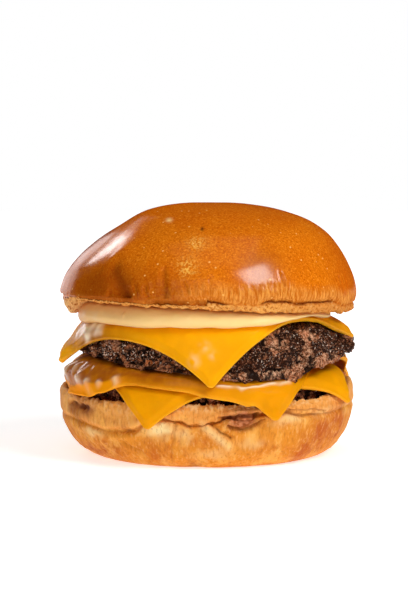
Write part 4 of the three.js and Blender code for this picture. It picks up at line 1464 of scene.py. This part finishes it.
class BURGER_OT_stage(bpy.types.Operator):
    """Set up the floor, the lights, the sky and the camera"""

    bl_idname = "burger.stage"
    bl_label = "Studio"

    def execute(self, context):
        studio = context.scene.burger_studio
        scene = context.scene
        ring = polar(np.arange(CORNERS) * 360.0 / CORNERS, studio.floor, 0.0)
        mesh = bpy.data.meshes.new("floor")
        mesh.from_pydata(ring.tolist(), [], [tuple(range(CORNERS))])
        floor = link("floor", mesh)
        f = Finish("floor_white", Roughness=0.9, Base_Color=(0.8, 0.8, 0.8, 1.0),
                   Emission_Color=(1.0, 1.0, 1.0, 1.0))
        away = f.add("VectorMath")
        away.operation = "LENGTH"
        f.put(away.inputs[0], f.place)
        f.feed("Emission Strength", f.scale(f.step(away.outputs["Value"], 0.12, 0.7), 0.6, 1.0))
        mesh.materials.append(f.material)

        soft_light("key", 46, 41, 0.9, (0.35, 0.4), studio.key, (1.0, 0.97, 0.93))
        soft_light("rear", -153, 28, 0.9, (0.32, 0.15), studio.rear, (1.0, 0.97, 0.97))
        soft_light("low_rear", -150, 7, 0.9, (0.5, 0.3), 0.7 * studio.rear, (1.0, 0.9, 0.9))
        soft_light("fill", -14, 32, 1.1, (0.8, 0.6), 0.44 * studio.key, (1.0, 0.98, 0.95))
        soft_light("top", 10, 84, 1.1, (0.9, 0.9), 2.0, (1.0, 0.98, 0.96))

        # white where the camera sees it, and a dim light on the burger, dimmer in reflections
        world = bpy.data.worlds.new("studio")
        scene.world = world
        world.use_nodes = True
        nodes, links = world.node_tree.nodes, world.node_tree.links
        nodes.clear()
        out = nodes.new("ShaderNodeOutputWorld")
        seen, lit = nodes.new("ShaderNodeBackground"), nodes.new("ShaderNodeBackground")
        seen.inputs["Color"].default_value = (1.0, 1.0, 1.0, 1.0)
        lit.inputs["Color"].default_value = (1.0, 0.98, 0.96, 1.0)
        path, mix = nodes.new("ShaderNodeLightPath"), nodes.new("ShaderNodeMixShader")
        dim = nodes.new("ShaderNodeMapRange")
        dim.inputs["To Min"].default_value, dim.inputs["To Max"].default_value = 0.12, 0.02
        for start, end in (
            (path.outputs["Is Glossy Ray"], dim.inputs["Value"]),
            (dim.outputs["Result"], lit.inputs["Strength"]),
            (path.outputs["Is Camera Ray"], mix.inputs["Fac"]),
            (lit.outputs[0], mix.inputs[1]),
            (seen.outputs[0], mix.inputs[2]),
            (mix.outputs[0], out.inputs["Surface"]),
        ):
            links.new(start, end)
        scene.view_settings.view_transform = "Standard"

        camera = bpy.data.cameras.new("camera")
        camera.lens = studio.lens
        camera.sensor_width = 36.0
        camera.clip_start, camera.clip_end = 0.01, 50.0
        scene.camera = link("camera", camera)
        scene.camera.location = SEEN + facing(CAMERA_LIFT)
        scene.camera.rotation_euler = facing(CAMERA_LIFT).to_track_quat("Z", "Y").to_euler()
        return {"FINISHED"}


PIECES = ("bottom_bun", "patties", "cheese", "sauce", "top_bun", "stage")


class BURGER_PT_pieces(bpy.types.Panel):
    """Lists the settings and the pieces"""

    bl_idname = "BURGER_PT_pieces"
    bl_label = "Double Cheeseburger"
    bl_space_type = "VIEW_3D"
    bl_region_type = "UI"
    bl_category = "Burger"

    def draw(self, context):
        for group in GROUPS:
            settings = getattr(context.scene, group)
            for name in settings.__annotations__:
                self.layout.prop(settings, name)
        for piece in PIECES:
            self.layout.operator(f"burger.{piece}")


GROUPS = {
    "burger_bread": BurgerBread,
    "burger_filling": BurgerFilling,
    "burger_studio": BurgerStudio,
}
CLASSES = (
    *GROUPS.values(), BURGER_OT_bottom_bun, BURGER_OT_patties, BURGER_OT_cheese, BURGER_OT_sauce,
    BURGER_OT_top_bun, BURGER_OT_stage, BURGER_PT_pieces,
)


def register():
    """Registers the settings, operators and panel."""
    for cls in CLASSES:
        bpy.utils.register_class(cls)
    for name, group in GROUPS.items():
        setattr(bpy.types.Scene, name, PointerProperty(type=group))


def unregister():
    """Takes away all that register added."""
    for name in GROUPS:
        delattr(bpy.types.Scene, name)
    for cls in reversed(CLASSES):
        bpy.utils.unregister_class(cls)


def main():
    """Builds every piece in order."""
    register()
    for piece in PIECES:
        getattr(bpy.ops.burger, piece)()


if __name__ == "__main__":
    main()
